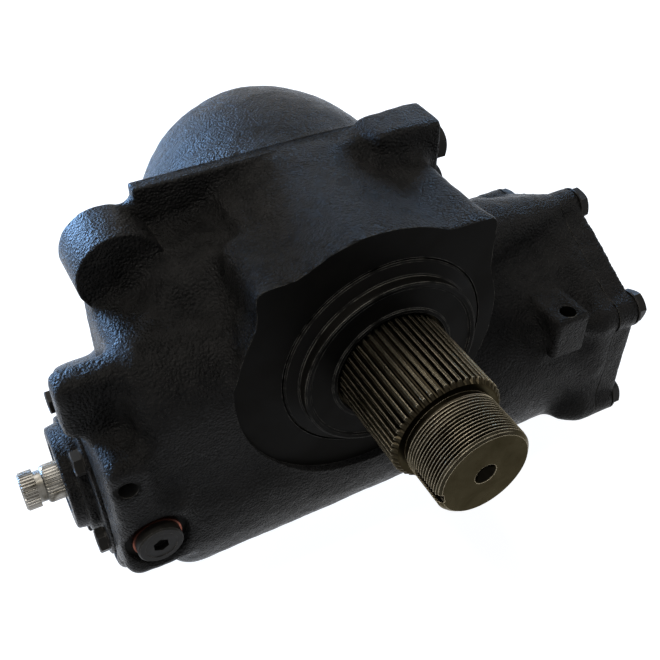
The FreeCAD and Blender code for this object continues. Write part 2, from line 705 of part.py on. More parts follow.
def make_valve_sleeve():
    """The sleeve with a sealing ring in each of its four lands."""
    groove = "sleeve_radius - sleeve_ring_depth"
    profile = [(SLEEVE_LEFT, "spool_radius + running_gap"), (SLEEVE_LEFT, "sleeve_radius")]
    rings = []
    for number in range(4):
        left = SLEEVE_LEFT + f" + sleeve_length * {2 * number + 1} / 8 - sleeve_ring_width / 2"
        right = left + " + sleeve_ring_width"
        profile += [(left, "sleeve_radius"), (left, groove)]
        profile += [(right, groove), (right, "sleeve_radius")]
        rings.append(turned_on_piston_axis(f"sleeve_ring_{number + 1}", [
            (left + " + seat_gap", groove + " + seat_gap"),
            (left + " + seat_gap", "valve_bore_radius - running_gap"),
            (right + " - seat_gap", "valve_bore_radius - running_gap"),
            (right + " - seat_gap", groove + " + seat_gap"),
        ]))
    end = SLEEVE_RIGHT + " - seat_gap"
    profile += [(end, "sleeve_radius"), (end, "spool_radius + running_gap")]
    piece(turned_on_piston_axis("valve_sleeve_turning", profile), "valve_sleeve")
    piece(group("sleeve_ring_group", *rings), "valve_sleeve_rings")


def make_thrust_bearings():
    """A thrust bearing on each side of the valve: two washers with rollers between them."""
    for name, left in (("inner_thrust_bearing", HEAD_RIGHT),
                       ("outer_thrust_bearing", SLEEVE_LEFT + " - thrust_bearing_length")):
        solids = []
        spans = (("0.05", "thrust_washer"), ("thrust_bearing_length - thrust_washer",
                                             "thrust_bearing_length - 0.05"))
        for number, (near, far) in enumerate(spans, start=1):
            solids.append(turned_on_piston_axis(f"{name}_washer_{number}", [
                (f"{left} + {near}", "spool_radius + 4"),
                (f"{left} + {near}", "screw_head_radius"),
                (f"{left} + {far}", "screw_head_radius"),
                (f"{left} + {far}", "spool_radius + 4"),
            ]))
        span = "(thrust_bearing_length - 2 * thrust_washer)"
        for number in range(int(size("thrust_roller_count"))):
            roller = rod(f"{name}_roller_{number + 1}", f"{span} / 2 - 0.02",
                         "screw_head_radius - spool_radius - 6", "0", "0", "0", "+Z")
            angle = 360 * number / size("thrust_roller_count")
            around = FreeCAD.Rotation(FreeCAD.Vector(1, 0, 0), -angle)
            place(roller, f"{left} + thrust_bearing_length / 2",
                  f"piston_offset + (spool_radius + 5) * sin({angle})",
                  f"-axis_distance + (spool_radius + 5) * cos({angle})", around)
            solids.append(roller)
        piece(group(name + "_group", *solids), name)


def make_torsion_bar():
    right = "screw_tip - 6"
    left = "-input_face + 6"
    bar = turned_on_piston_axis("torsion_bar_turning", [
        (left, "0"),
        (left, "screw_bore_radius - running_gap"),
        (left + " + 16", "screw_bore_radius - running_gap"),
        (left + " + 22", "bar_radius"),
        (right + " - 22", "bar_radius"),
        (right + " - 16", "screw_bore_radius - running_gap"),
        (right, "screw_bore_radius - running_gap"),
        (right, "0"),
    ])
    input_pin = cross_hole("bar_input_hole", "bar_pin_radius", INPUT_PIN_X)
    screw_pin = cross_hole("bar_screw_hole", "bar_pin_radius + bar_pin_play", SCREW_PIN_X)
    piece(cut("torsion_bar_cut", bar, input_pin, screw_pin), "torsion_bar")


def make_input_shaft():
    spool_right = SLEEVE_RIGHT + " - 1"
    body = turned_on_piston_axis("input_shaft_turning", [
        ("-input_end", "0"),
        ("-input_end", "input_radius - 1.2"),
        ("-input_end + 1.2", "input_radius"),
        ("-input_end + 7.5", "input_radius"),
        ("-input_end + 9.5", "input_groove_radius"),
        ("-input_end + 11.5", "input_groove_radius"),
        ("-input_end + 13.5", "input_radius"),
        ("-input_face - 0.8", "input_radius"),
        ("-input_face + 1.2", "input_journal_radius"),
        (SLEEVE_LEFT + " - 0.5", "input_journal_radius"),
        (SLEEVE_LEFT + " - 0.5", "spool_radius"),
        (spool_right, "spool_radius"),
        (spool_right, "screw_bore_radius"),
        ("-input_face + 5", "screw_bore_radius"),
        ("-input_face + 5", "0"),
    ])
    half_top = "pi * input_radius / input_serrations * 0.6"
    half_root = "pi * input_radius / input_serrations * 0.15"
    grooved(body, "input_serration", "YZ_Plane", [
        (f"-({half_top})", "input_radius + 0.3"),
        (half_top, "input_radius + 0.3"),
        (half_root, "input_radius - 0.9"),
        (f"-({half_root})", "input_radius - 0.9"),
    ], "input_end - input_face", "input_serrations", "X_Axis", "-input_face - 0.8")
    pin = cross_hole("input_pin_hole", "bar_pin_radius", INPUT_PIN_X)
    piece(cut("input_shaft_cut", body, pin), "input_shaft")


def cross_hole(name, radius, x):
    """A hole across the piston axis, parallel to Y."""
    return rod(name, radius, "80", x, "piston_offset - 40", PISTON_Z, "+Y")


def make_bar_pins():
    for name, x, reach in (("input_bar_pin", INPUT_PIN_X, "input_journal_radius - 0.5"),
                           ("screw_bar_pin", SCREW_PIN_X, "screw_radius - 5")):
        pin = rod(name + "_rod", "bar_pin_radius - seat_gap", f"2 * ({reach})", x,
                  f"piston_offset - ({reach})", PISTON_Z, "+Y")
        piece(pin, name)


# Housing casting

def make_valve_housing():
    """The left part of the casting: a body with a broad round from its front up to its top."""
    left = "-valve_shoulder"
    round_y = "valve_front + shoulder_round"
    round_z = "shoulder_top - shoulder_round"
    front = rod("shoulder_front", "shoulder_round", "valve_shoulder - 30", left, round_y, round_z)
    middle = block("shoulder_middle", (left, round_y, "-60"),
                   ("-30", "mount_plane - 6", "shoulder_top"))
    lower = block("valve_lower", (left, "valve_front", "-98"), ("-60", "60", round_z))
    body = fuse("valve_housing_body", front, middle, lower)
    return rounded("valve_housing", body, "12",
                   lambda e: e.BoundBox.XMax < -size("valve_shoulder") + 0.1)


def make_casting():
    """The outside of the one-piece casting, before any bore."""
    barrel = piston_rod("barrel", "barrel_radius", "end_joint + 130", "-130")
    barrel = rounded("barrel_rounded", barrel, "18",
                     lambda e: e.Length > 400 and e.BoundBox.XMax < 0)
    valve_body = piston_rod("valve_body", "valve_body_radius", "housing_left - 100",
                            "-housing_left")
    valve_body = rounded("valve_body_rounded", valve_body, "4",
                         lambda e: e.Length > 300 and e.BoundBox.XMax < -size("housing_left") + 1)
    drum = rod("drum", "drum_radius", "dome_start - front_face", "drum_x", "front_face",
               "drum_z", "+Y")
    pad = block("drum_pad", ("-71", "front_face", "-10"), ("64", "mount_plane - 2", "68"))
    pad = rounded("drum_pad_rounded", pad, "8",
                  lambda e: e.BoundBox.YLength > 60 and e.BoundBox.ZMin > 0)
    dome = doc.addObject("Part::Ellipsoid", "dome_ellipsoid")
    bind(dome, Radius1="dome_reach", Radius2="dome_radius", Radius3="dome_radius")
    place(dome, "0", "dome_start", "0", ALONG["+Y"])
    dome_span = rod("dome_span", "dome_radius + 5", "dome_back - mount_plane + 10",
                    y="mount_plane - 10", along="+Y")
    dome_cut = doc.addObject("Part::Common", "dome_cut")
    dome_cut.Base = dome
    dome_cut.Tool = dome_span
    dome = rounded("dome_rounded", dome_cut, "9", lambda e: e.BoundBox.YMin > size("dome_back") - 1)
    plate = block("flange_plate", ("-97", "mount_plane - 18", "46"),
                  ("port_face - 6", "mount_plane", "drum_radius + drum_z"))
    plate = rounded("flange_rounded", plate, "12",
                    lambda e: e.BoundBox.YLength > 15 and e.BoundBox.XMax < -50)
    right_boss = block("right_boss", ("34", "mount_plane - 27", "22"),
                       ("port_face", "mount_plane", "drum_radius + drum_z + 5"))
    right_boss = rounded("right_boss_rounded", right_boss, "12",
                         lambda e: e.BoundBox.YLength > 20 and e.BoundBox.XMin > 50)
    left_boss = rod("left_boss", "left_boss_radius", "mount_plane - left_boss_front",
                    "left_boss_x", "left_boss_front", "left_boss_z", "+Y")
    corner = block("valve_corner", ("-housing_left - 4", "8", "-99"), ("-112", "60", "-46"))
    corner = rounded("valve_corner_rounded", corner, "9")
    strip = block("valve_strip", ("-housing_left - 3", "8", "-70"), ("-130", "60", "-8"))
    strip = rounded("valve_strip_rounded", strip, "6")
    lug = block("input_lug", ("-165", "34", "-6"), ("-120", "52", "30"))
    lug = rounded("input_lug_rounded", lug, "3")
    saddle = taper("saddle", "34", "14", "100", "64", "piston_offset", "-axis_distance + 75")
    bracket_lug = block("bracket_lug", ("115", "6", "lug_top - 30"), ("139", "60", "lug_top"))
    bracket_lug = rounded("bracket_lug_rounded", bracket_lug, "3")
    flange_hex = hexagon("end_flange_hex", "2 * end_bolt_circle - 3", "end_flange_thickness",
                         "end_joint - end_flange_thickness", PISTON_Y, PISTON_Z)
    flare = taper("end_flare", "barrel_radius - 3", "end_bolt_circle + 1", "40",
                  "end_joint - 42", PISTON_Y, PISTON_Z)
    bosses = []
    for number in range(6):
        y, z = end_bolt_place(number)
        bosses.append(rod(f"end_boss_{number + 1}", "end_boss_radius", "end_flange_thickness",
                          "end_joint - end_flange_thickness", y, z))
        bosses.append(taper(f"end_boss_foot_{number + 1}", "end_boss_radius - 7",
                            "end_boss_radius", "16",
                            "end_joint - end_flange_thickness - 16", y, z))
    return fuse("casting", barrel, valve_body, drum, pad, dome, plate, right_boss, left_boss,
                make_valve_housing(), corner, strip, lug, saddle, bracket_lug, flange_hex, flare,
                *bosses)


def end_bolt_place(number):
    """The Y and Z of one of the end cover's six bolts, the first at the upper back."""
    angle = 60 * number + 30
    return (f"piston_offset + end_bolt_circle * cos({angle})",
            f"-axis_distance + end_bolt_circle * sin({angle})")


def input_bolt_place(number):
    """The Y and Z of one of the input cover's bolts, the first at the bottom."""
    angle = f"(270 + 360 * {number} / input_bolt_count)"
    return (f"piston_offset + input_bolt_circle * cos({angle})",
            f"-axis_distance + input_bolt_circle * sin({angle})")


def make_housing():
    casting = make_casting()
    tools = [
        piston_rod("cylinder_bore", "piston_radius + running_gap", "end_joint + valve_wall + 1",
                   "-valve_wall"),
        piston_rod("valve_wall_opening", "valve_wall_bore", "valve_wall_thickness + 2",
                   "-valve_wall - valve_wall_thickness - 1"),
        piston_rod("valve_bore", "valve_bore_radius",
                   "housing_left - valve_wall - valve_wall_thickness + 5", "-housing_left - 5"),
        piston_rod("input_face_mill", "input_flange_radius + 3", "20", "-housing_left", "-X"),
        rod("front_face_mill", "drum_radius + 1", "20", "drum_x", "front_face", "drum_z", "-Y"),
        rod("front_bore", "chamber_radius", "chamber_back - front_face + 6",
            y="front_face - 6", along="+Y"),
        rod("front_recess", "recess_radius", "recess_depth + 1", y="front_face - 1", along="+Y"),
        rod("rear_bearing_bore", "rear_journal_radius + 2 * front_roller_radius + bearing_shell",
            "rear_journal_length + 2", y="chamber_back - 1", along="+Y"),
        rod("adjuster_bore", "adjuster_radius + seat_gap", "dome_back - chamber_back + 2",
            y="chamber_back", along="+Y"),
        rod("plug_spot_face", "plug_radius + 5", "20", "plug_x", "plug_seat", "plug_z", "-Y"),
        rod("plug_bore", "plug_bore_radius", "relief_bore_depth + 1", "plug_x",
            "plug_seat - 1", "plug_z", "+Y"),
        rod("bracket_hole", "5.1", "20", "127", "12", "lug_top + 1", "-Z"),
        taper("drilling_cone", "6.5", "0.5", "9", "-146", "7.5", "-24", "+Y"),
    ]
    for number in range(6):
        y, z = end_bolt_place(number)
        tools.append(rod(f"end_bolt_hole_{number + 1}", "bolt_radius + seat_gap",
                         "bolt_length - end_cover_thickness + 4", "end_joint + 1", y, z, "-X"))
    for number in range(int(size("input_bolt_count"))):
        y, z = input_bolt_place(number)
        tools.append(rod(f"input_bolt_hole_{number + 1}", "input_bolt_radius + seat_gap",
                         "input_bolt_length", "-housing_left - 4", y, z))
    for name, x, z, depth in (
            ("left_boss", "left_boss_x", "left_boss_z", "mount_hole_depth"),
            ("lug", "lug_x", "lug_z", "lug_hole_depth")):
        tools.append(rod(f"{name}_hole", "mount_hole_radius", f"{depth} + 1",
                         x, "mount_plane + 1", z, "-Y"))
    for number in range(2):
        tools.append(rod(f"port_{number + 1}", "port_radius", "port_depth + 2", "port_face + 2",
                         "port_y", f"port_z - {number} * port_spacing", "-X"))
    piece(cut("housing_cut", casting, *tools), "housing")


# Covers and what they hold

def make_end_cover():
    plate = hexagon("end_cover_hex", "2 * end_bolt_circle - 3", "end_cover_thickness",
                    "end_joint", PISTON_Y, PISTON_Z)
    ears, holes = [], []
    for number in range(6):
        y, z = end_bolt_place(number)
        ears.append(rod(f"end_cover_ear_{number + 1}", "end_boss_radius", "end_cover_thickness",
                        "end_joint", y, z))
        holes.append(rod(f"end_cover_hole_{number + 1}", "bolt_radius + bolt_hole_gap",
                         "end_cover_thickness + 2", "end_joint - 1", y, z))
    spigot = piston_rod("end_spigot", "piston_radius + running_gap - seat_gap - 0.03",
                        "end_spigot_depth", "end_joint", "-X")
    groove = turned_on_piston_axis("end_ring_groove", [
        ("end_joint - 6", "piston_radius - 3"),
        ("end_joint - 6", "piston_radius + 3"),
        ("end_joint - 2.5", "piston_radius + 3"),
        ("end_joint - 2.5", "piston_radius - 3"),
    ])
    dish = turned_on_piston_axis("end_dish", [
        ("end_joint + end_cover_thickness - 4", "0"),
        ("end_joint + end_cover_thickness - 4", "40"),
        ("end_joint + end_cover_thickness + 1", "45"),
        ("end_joint + end_cover_thickness + 1", "0"),
    ])
    cover = fuse("end_cover_blank", plate, spigot, *ears)
    piece(cut("end_cover_cut", cover, groove, dish, *holes), "end_cover")
    ring = turned_on_piston_axis("end_cover_ring", [
        ("end_joint - 5.9", "piston_radius - 2.95"),
        ("end_joint - 5.9", "piston_radius"),
        ("end_joint - 2.6", "piston_radius"),
        ("end_joint - 2.6", "piston_radius - 2.95"),
    ])
    piece(ring, "end_cover_oring")


def hex_bolt(name, x, y, z, along, shank, flats, head, length, collar=None):
    """A hexagon bolt whose head stands on the plane through the point and points along."""
    back = {"+X": "-X", "-X": "+X", "+Y": "-Y", "-Y": "+Y"}[along]
    parts = [
        hexagon(name + "_head", flats, head, x, y, z, along),
        rod(name + "_shank", shank, length, x, y, z, back),
    ]
    if collar:
        parts.append(taper(name + "_collar", collar, f"({flats}) / 2", "2", x, y, z, along))
    return fuse(name, *parts)


def make_end_bolts():
    bolts = []
    for number in range(6):
        bolts.append(hex_bolt(
            f"end_bolt_{number + 1}", "end_joint + end_cover_thickness",
            *end_bolt_place(number), "+X",
            "bolt_radius", "bolt_flats", "bolt_head_height", "bolt_length",
            "bolt_flange_radius"))
    piece(group("end_cover_bolt_group", *bolts), "end_cover_bolts")


INPUT_SHELL = "input_journal_radius + 2 * input_roller_radius + 2 * running_gap"


def make_input_cover():
    body = turned_on_piston_axis("input_cover_turning", [
        ("-input_face", "input_journal_radius + 7"),
        ("-input_face", "input_cover_radius - 1.5"),
        ("-input_face + 1.5", "input_cover_radius"),
        ("-input_face + 7", "input_cover_radius + 1"),
        ("-input_face + 7", "input_cover_step"),
        ("-housing_left - 6", "input_cover_step + 1"),
        ("-housing_left - 6", "input_flange_radius"),
        ("-housing_left", "input_flange_radius"),
        ("-housing_left", "valve_bore_radius - seat_gap"),
        ("-housing_left + 3", "valve_bore_radius - seat_gap"),
        ("-housing_left + 3", "valve_bore_radius - 2.6"),
        ("-housing_left + 6.4", "valve_bore_radius - 2.6"),
        ("-housing_left + 6.4", "valve_bore_radius - seat_gap"),
        ("-housing_left + 9", "valve_bore_radius - seat_gap"),
        ("-housing_left + 9", INPUT_SHELL + " + bearing_shell + seat_gap"),
        ("-housing_left + 1", INPUT_SHELL + " + bearing_shell + seat_gap"),
        ("-housing_left + 1", "input_journal_radius + 0.4"),
        ("-housing_left - 3", "input_journal_radius + 0.4"),
        ("-housing_left - 3", "input_journal_radius + 7"),
    ])
    holes = []
    for number in range(int(size("input_bolt_count"))):
        y, z = input_bolt_place(number)
        holes.append(rod(f"input_cover_hole_{number + 1}", "input_bolt_radius + bolt_hole_gap",
                         "20", "-housing_left - 12", y, z))
    piece(cut("input_cover_cut", body, *holes), "input_cover")
    ring = turned_on_piston_axis("input_cover_ring", [
        ("-housing_left + 3.1", "valve_bore_radius - 2.55"),
        ("-housing_left + 3.1", "valve_bore_radius - 0.03"),
        ("-housing_left + 6.3", "valve_bore_radius - 0.03"),
        ("-housing_left + 6.3", "valve_bore_radius - 2.55"),
    ])
    piece(ring, "input_cover_oring")


def make_input_bolts():
    bolts = []
    for number in range(int(size("input_bolt_count"))):
        bolts.append(hex_bolt(
            f"input_bolt_{number + 1}", "-housing_left - 6",
            *input_bolt_place(number), "-X",
            "input_bolt_radius", "input_bolt_flats", "input_bolt_head", "input_bolt_length"))
    piece(group("input_bolt_group", *bolts), "input_cover_bolts")


def make_input_seals():
    seal = turned_on_piston_axis("input_seal_turning", [
        ("-housing_left - 3.1", "input_journal_radius + 6.95"),
        ("-housing_left - 10", "input_journal_radius + 6.95"),
        ("-housing_left - 10", "input_journal_radius + 0.05"),
        ("-housing_left - 7", "input_journal_radius + 1.4"),
        ("-housing_left - 3.1", "input_journal_radius + 1.4"),
    ])
    piece(seal, "input_shaft_seal")
    ring = turned_on_piston_axis("input_dust_seal_turning", [
        ("-input_face + 0.6", "input_journal_radius + 0.05"),
        ("-input_face + 0.6", "input_journal_radius + 6.95"),
        ("-housing_left - 10.2", "input_journal_radius + 6.95"),
        ("-housing_left - 10.2", "input_journal_radius + 0.8"),
    ])
    piece(ring, "input_dust_seal")


def make_input_bearing():
    start = "-housing_left + 1.5"
    shell = turned_on_piston_axis("input_shell_turning", [
        (start, INPUT_SHELL),
        (start, INPUT_SHELL + " + bearing_shell"),
        (start + " + input_bearing_length", INPUT_SHELL + " + bearing_shell"),
        (start + " + input_bearing_length", INPUT_SHELL),
    ])
    piece(shell, "input_bearing_shell")
    rollers = []
    pitch = "(input_journal_radius + input_roller_radius + running_gap)"
    for number in range(int(size("needle_count"))):
        angle = 360 * number / size("needle_count")
        rollers.append(rod(f"input_needle_{number + 1}", "input_roller_radius",
                           "input_bearing_length - 1", start + " + 0.5",
                           f"piston_offset + {pitch} * cos({angle})",
                           f"-axis_distance + {pitch} * sin({angle})"))
    piece(group("input_needle_group", *rollers), "input_bearing_needles")


def needles(name, pitch_radius, radius, length, start):
    """A ring of bearing needles parallel to Y."""
    count = int(size("needle_count"))
    rollers = []
    for number in range(count):
        angle = 360 * number / count
        rollers.append(rod(f"{name}_needle_{number + 1}", radius, length,
                           f"({pitch_radius}) * cos({angle})", start,
                           f"({pitch_radius}) * sin({angle})", "+Y"))
    return rollers


CARRIER_FRONT = "front_face + recess_depth"


def before_piston(reach):
    """How far back the carrier may go at a radius from the output axis without meeting the piston."""
    chord = f"sqrt(piston_radius ^ 2 - (axis_distance - {reach}) ^ 2)"
    return f"piston_offset - {chord} - carrier_gap"


FLANGE_BACK = before_piston("chamber_radius")
CARRIER_BACK = before_piston("carrier_hub_radius")
RING_FRONT = f"({CARRIER_FRONT} + {FLANGE_BACK} - carrier_ring_width) / 2"
RING_BACK = RING_FRONT + " + carrier_ring_width"
BEARING_FRONT = CARRIER_FRONT + " + seal_width + 1.5"


def make_shaft_carrier():
    """The ring that closes the sector chamber and carries the front bearing and seal."""
    front = CARRIER_FRONT
    shell = "journal_radius + 2 * front_roller_radius + 2 * running_gap + bearing_shell"
    carrier = turned("carrier_turning", [
        (front, "seal_radius + seat_gap"),
        (front, "chamber_radius - running_gap"),
        (RING_FRONT, "chamber_radius - running_gap"),
        (RING_FRONT, "chamber_radius - 3"),
        (RING_BACK, "chamber_radius - 3"),
        (RING_BACK, "chamber_radius - running_gap"),
        (FLANGE_BACK + " - 2", "chamber_radius - running_gap"),
        (FLANGE_BACK, "chamber_radius - 2"),
        (FLANGE_BACK, "carrier_hub_radius"),
        (CARRIER_BACK, "carrier_hub_radius"),
        (CARRIER_BACK, f"{shell} + seat_gap"),
        (front + " + seal_width + 1", f"{shell} + seat_gap"),
        (front + " + seal_width + 1", "seal_radius + seat_gap"),
    ], along="Y")
    piece(carrier, "bearing_carrier")
    ring = turned("carrier_ring_turning", [
        (RING_FRONT + " + 0.1", "chamber_radius - 2.95"),
        (RING_FRONT + " + 0.1", "chamber_radius - 0.03"),
        (RING_BACK + " - 0.1", "chamber_radius - 0.03"),
        (RING_BACK + " - 0.1", "chamber_radius - 2.95"),
    ], along="Y")
    piece(ring, "carrier_oring")
    snap = turned("snap_ring_turning", [
        (front + " - snap_ring_width", "recess_radius - 0.1 - snap_ring_reach * 1.6"),
        (front + " - snap_ring_width", "recess_radius - 0.1"),
        (front, "recess_radius - 0.1"),
        (front, "recess_radius - 0.1 - snap_ring_reach * 1.6"),
    ], along="Y")
    opening = block("snap_ring_opening", ("-4", "0", "recess_radius - 12"),
                    ("4", "front_face + 20", "recess_radius + 4"))
    piece(cut("snap_ring_cut", snap, opening), "snap_ring")


def make_front_bearing():
    inner = "journal_radius + 2 * front_roller_radius + 2 * running_gap"
    shell = turned("front_shell_turning", [
        (BEARING_FRONT, inner),
        (BEARING_FRONT, inner + " + bearing_shell"),
        (CARRIER_BACK, inner + " + bearing_shell"),
        (CARRIER_BACK, inner),
    ], along="Y")
    piece(shell, "front_bearing_shell")
    rollers = needles("front", "journal_radius + front_roller_radius + running_gap",
                      "front_roller_radius", f"{CARRIER_BACK} - ({BEARING_FRONT}) - 1",
                      BEARING_FRONT + " + 0.5")
    piece(group("front_needle_group", *rollers), "front_bearing_needles")


def make_rear_bearing():
    start = "chamber_back + 1"
    inner = "rear_journal_radius + 2 * front_roller_radius + 2 * running_gap"
    shell = turned("rear_shell_turning", [
        (start, inner),
        (start, inner + " + bearing_shell - 2 * running_gap"),
        (start + " + rear_bearing_length", inner + " + bearing_shell - 2 * running_gap"),
        (start + " + rear_bearing_length", inner),
    ], along="Y")
    piece(shell, "rear_bearing_shell")
    rollers = needles("rear", "rear_journal_radius + front_roller_radius + running_gap",
                      "front_roller_radius", "rear_bearing_length - 1", start + " + 0.5")
    piece(group("rear_needle_group", *rollers), "rear_bearing_needles")


def make_output_seals():
    front = CARRIER_FRONT
    seal = turned("output_seal_turning", [
        (front, "journal_radius + 0.05"),
        (front, "seal_radius"),
        (front + " + seal_width", "seal_radius"),
        (front + " + seal_width", "seal_radius - 3"),
        (front + " + 3", "seal_radius - 3"),
        (front + " + 3", "journal_radius + 2"),
        (front + " + seal_width - 1", "journal_radius + 2"),
        (front + " + seal_width - 2", "journal_radius + 0.05"),
    ], along="Y")
    piece(seal, "output_shaft_seal")
    back = "front_face + recess_depth - snap_ring_width - 0.1"
    cover = turned("dust_cover_turning", [
        ("dust_cover_front", "journal_radius + 0.1"),
        ("dust_cover_front", "dust_cover_radius - 1"),
        ("dust_cover_front + 1", "dust_cover_radius"),
        ("front_face - 3.5", "dust_cover_radius"),
        (back + " - 1.5", "recess_radius - 1"),
        (back, "recess_radius - 1"),
        (back, "journal_radius + 0.1"),
    ], along="Y")
    piece(cover, "dust_cover")


def make_adjuster():
    head_back = REAR_END + " - retainer_length - 0.1"
    head_front = head_back + " - adjuster_head_height + 0.15"
    tip = "dome_back + locknut_height + adjuster_stickout"
    screw = turned("adjuster_turning", [
        (head_front, "0"),
        (head_front, "adjuster_head_radius"),
        (head_back, "adjuster_head_radius"),
        (head_back, "adjuster_radius"),
        (tip + " - 1", "adjuster_radius"),
        (tip, "adjuster_radius - 1"),
        (tip, "0"),
    ], along="Y")
    socket = hexagon("adjuster_socket", "6", "8", "0", tip, "0", "-Y")
    piece(cut("adjuster_cut", screw, socket), "adjusting_screw")
    retainer = turned("retainer_turning", [
        (REAR_END + " - retainer_length", "adjuster_radius + 0.4"),
        (REAR_END + " - retainer_length", "adjuster_pocket_radius - running_gap"),
        (REAR_END, "adjuster_pocket_radius - running_gap"),
        (REAR_END, "adjuster_radius + 0.4"),
    ], along="Y")
    piece(retainer, "adjuster_retainer")
    nut = hexagon("locknut_hex", "locknut_flats", "locknut_height", "0", "dome_back", "0", "+Y")
    bore = rod("locknut_bore", "adjuster_radius + seat_gap", "locknut_height + 2", "0",
               "dome_back - 1", "0", "+Y")
    piece(cut("locknut_cut", nut, bore), "adjuster_locknut")


# Ports and relief valve

def make_port_plugs():
    plugs, washers = [], []
    for number in range(2):
        z = f"port_z - {number} * port_spacing"
        plugs.append(hex_bolt(f"port_plug_{number + 1}", "port_face + 2", "port_y", z, "+X",
                              "port_radius - seat_gap", "bolt_flats", "bolt_head_height",
                              "18", "11.5"))
        disc = rod(f"port_washer_disc_{number + 1}", "12", "2", "port_face", "port_y", z)
        hole = rod(f"port_washer_hole_{number + 1}", "port_radius + 0.1", "4",
                   "port_face - 1", "port_y", z)
        washers.append(cut(f"port_washer_{number + 1}", disc, hole))
    piece(group("port_plug_group", *plugs), "port_plugs")
    piece(group("port_washer_group", *washers), "port_washers")


def make_relief_valve():
    head = rod("relief_head", "plug_radius", "plug_head_height", "plug_x",
               "plug_seat - 2 - plug_head_height", "plug_z", "+Y")
    stem = rod("relief_stem", "plug_bore_radius - seat_gap", "plug_stem_length + 2", "plug_x",
               "plug_seat - 2", "plug_z", "+Y")
    body = fuse("relief_plug_blank", head, stem)
    socket = hexagon("relief_socket", "plug_socket_flats", "5", "plug_x",
                     "plug_seat - 3 - plug_head_height", "plug_z", "+Y")
    piece(cut("relief_plug_cut", body, socket), "relief_valve_plug")
    disc = rod("relief_washer_disc", "plug_radius + 1", "2", "plug_x", "plug_seat - 2",
               "plug_z", "+Y")
    hole = rod("relief_washer_hole", "plug_bore_radius + 0.1", "4", "plug_x", "plug_seat - 3",
               "plug_z", "+Y")
    piece(cut("relief_washer_cut", disc, hole), "relief_valve_washer")
    bottom = "plug_seat + relief_bore_depth"
    ball = doc.addObject("Part::Sphere", "relief_ball")
    bind(ball, Radius="relief_ball_radius")
    place(ball, "plug_x", bottom + " - relief_ball_radius - 0.05", "plug_z")
    piece(ball, "relief_valve_ball")
    near = size("plug_seat + plug_stem_length + relief_wire_radius") + 0.05
    far = size(bottom + " - 2 * relief_ball_radius - relief_wire_radius") + 2.4
    length = far - near
    coil = Part.makeHelix(length / 4, length, size("relief_spring_radius"))
    section = Part.Wire(Part.makeCircle(size("relief_wire_radius"),
                                        FreeCAD.Vector(size("relief_spring_radius"), 0, 0),
                                        FreeCAD.Vector(0, 1, 0)))
    spring = feature("relief_spring_sweep",
                     Part.Wire(coil).makePipeShell([section], True, True))
    place(spring, "plug_x", f"{near}", "plug_z", ALONG["+Y"])
    piece(spring, "relief_valve_spring")


make_output_shaft()
make_piston()
make_piston_ring()
make_ball_train()
make_return_tube()
make_screw()
make_valve_sleeve()
make_thrust_bearings()
make_torsion_bar()
make_input_shaft()
make_bar_pins()
make_housing()
make_end_cover()
make_end_bolts()
make_input_cover()
make_input_bolts()
make_input_seals()
make_input_bearing()
make_shaft_carrier()
make_front_bearing()
make_rear_bearing()
make_output_seals()
make_adjuster()
make_port_plugs()
make_relief_valve()
doc.recompute()

faults = [o.Name for o in doc.Objects if "Invalid" in o.State or "Error" in o.State]
for obj in PIECES:
    if obj.Shape.isNull() or not obj.Shape.isValid():
        faults.append(obj.Label)
if faults:
    raise RuntimeError(f"these objects did not build: {faults}")

os.makedirs("parts", exist_ok=True)
for obj in PIECES:
    obj.Shape.exportStep(f"parts/{obj.Label}.step")
    print(f"{obj.Label}: {len(obj.Shape.Solids)} solids, {obj.Shape.Volume / 1000:.1f} cm3")
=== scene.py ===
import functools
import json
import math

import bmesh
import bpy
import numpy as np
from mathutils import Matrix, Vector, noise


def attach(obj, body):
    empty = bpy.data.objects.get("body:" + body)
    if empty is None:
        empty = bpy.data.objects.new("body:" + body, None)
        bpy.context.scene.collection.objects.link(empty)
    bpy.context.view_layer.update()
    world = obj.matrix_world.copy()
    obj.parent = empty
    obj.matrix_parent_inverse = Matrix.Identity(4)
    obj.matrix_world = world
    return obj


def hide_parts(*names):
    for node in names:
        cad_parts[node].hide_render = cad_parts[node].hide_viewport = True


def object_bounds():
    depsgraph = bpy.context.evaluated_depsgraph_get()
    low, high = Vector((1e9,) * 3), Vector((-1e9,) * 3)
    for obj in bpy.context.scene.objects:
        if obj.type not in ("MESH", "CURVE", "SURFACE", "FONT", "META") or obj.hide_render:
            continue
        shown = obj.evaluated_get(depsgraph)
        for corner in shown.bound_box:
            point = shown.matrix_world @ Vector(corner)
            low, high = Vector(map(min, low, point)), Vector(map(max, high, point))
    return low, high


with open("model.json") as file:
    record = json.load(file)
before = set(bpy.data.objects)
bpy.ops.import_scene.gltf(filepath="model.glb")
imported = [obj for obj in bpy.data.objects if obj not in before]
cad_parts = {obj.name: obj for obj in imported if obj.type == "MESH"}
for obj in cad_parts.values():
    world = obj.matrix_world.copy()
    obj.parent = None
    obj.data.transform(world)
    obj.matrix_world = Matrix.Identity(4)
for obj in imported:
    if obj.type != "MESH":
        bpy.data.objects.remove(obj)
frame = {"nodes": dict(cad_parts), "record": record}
cad_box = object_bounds()

# %% [markdown]
# # A power steering gear
# The real gear is one heavy iron casting with a serrated output shaft coming out of its front,
# a bolted end cover on the right and a small input shaft on the left. It has been painted black
# all over, and only the two shafts are bare steel. The CAD model already holds every piece at its
# right size, so this script dresses those pieces: it gives the casting its soft sand-cast skin,
# cuts real serrations and a real thread, and makes a finish for each kind of surface. The output
# shaft turns about the Y axis. The piston's axis runs along X, and PISTON is its Y and Z in
# millimetres.

MM = 0.001
AXIS = {"X": 0, "Y": 1, "Z": 2}
PISTON = (82, -80)
nodes = frame["nodes"]
collection = bpy.context.scene.collection
print("pieces from the CAD model:", len(nodes))

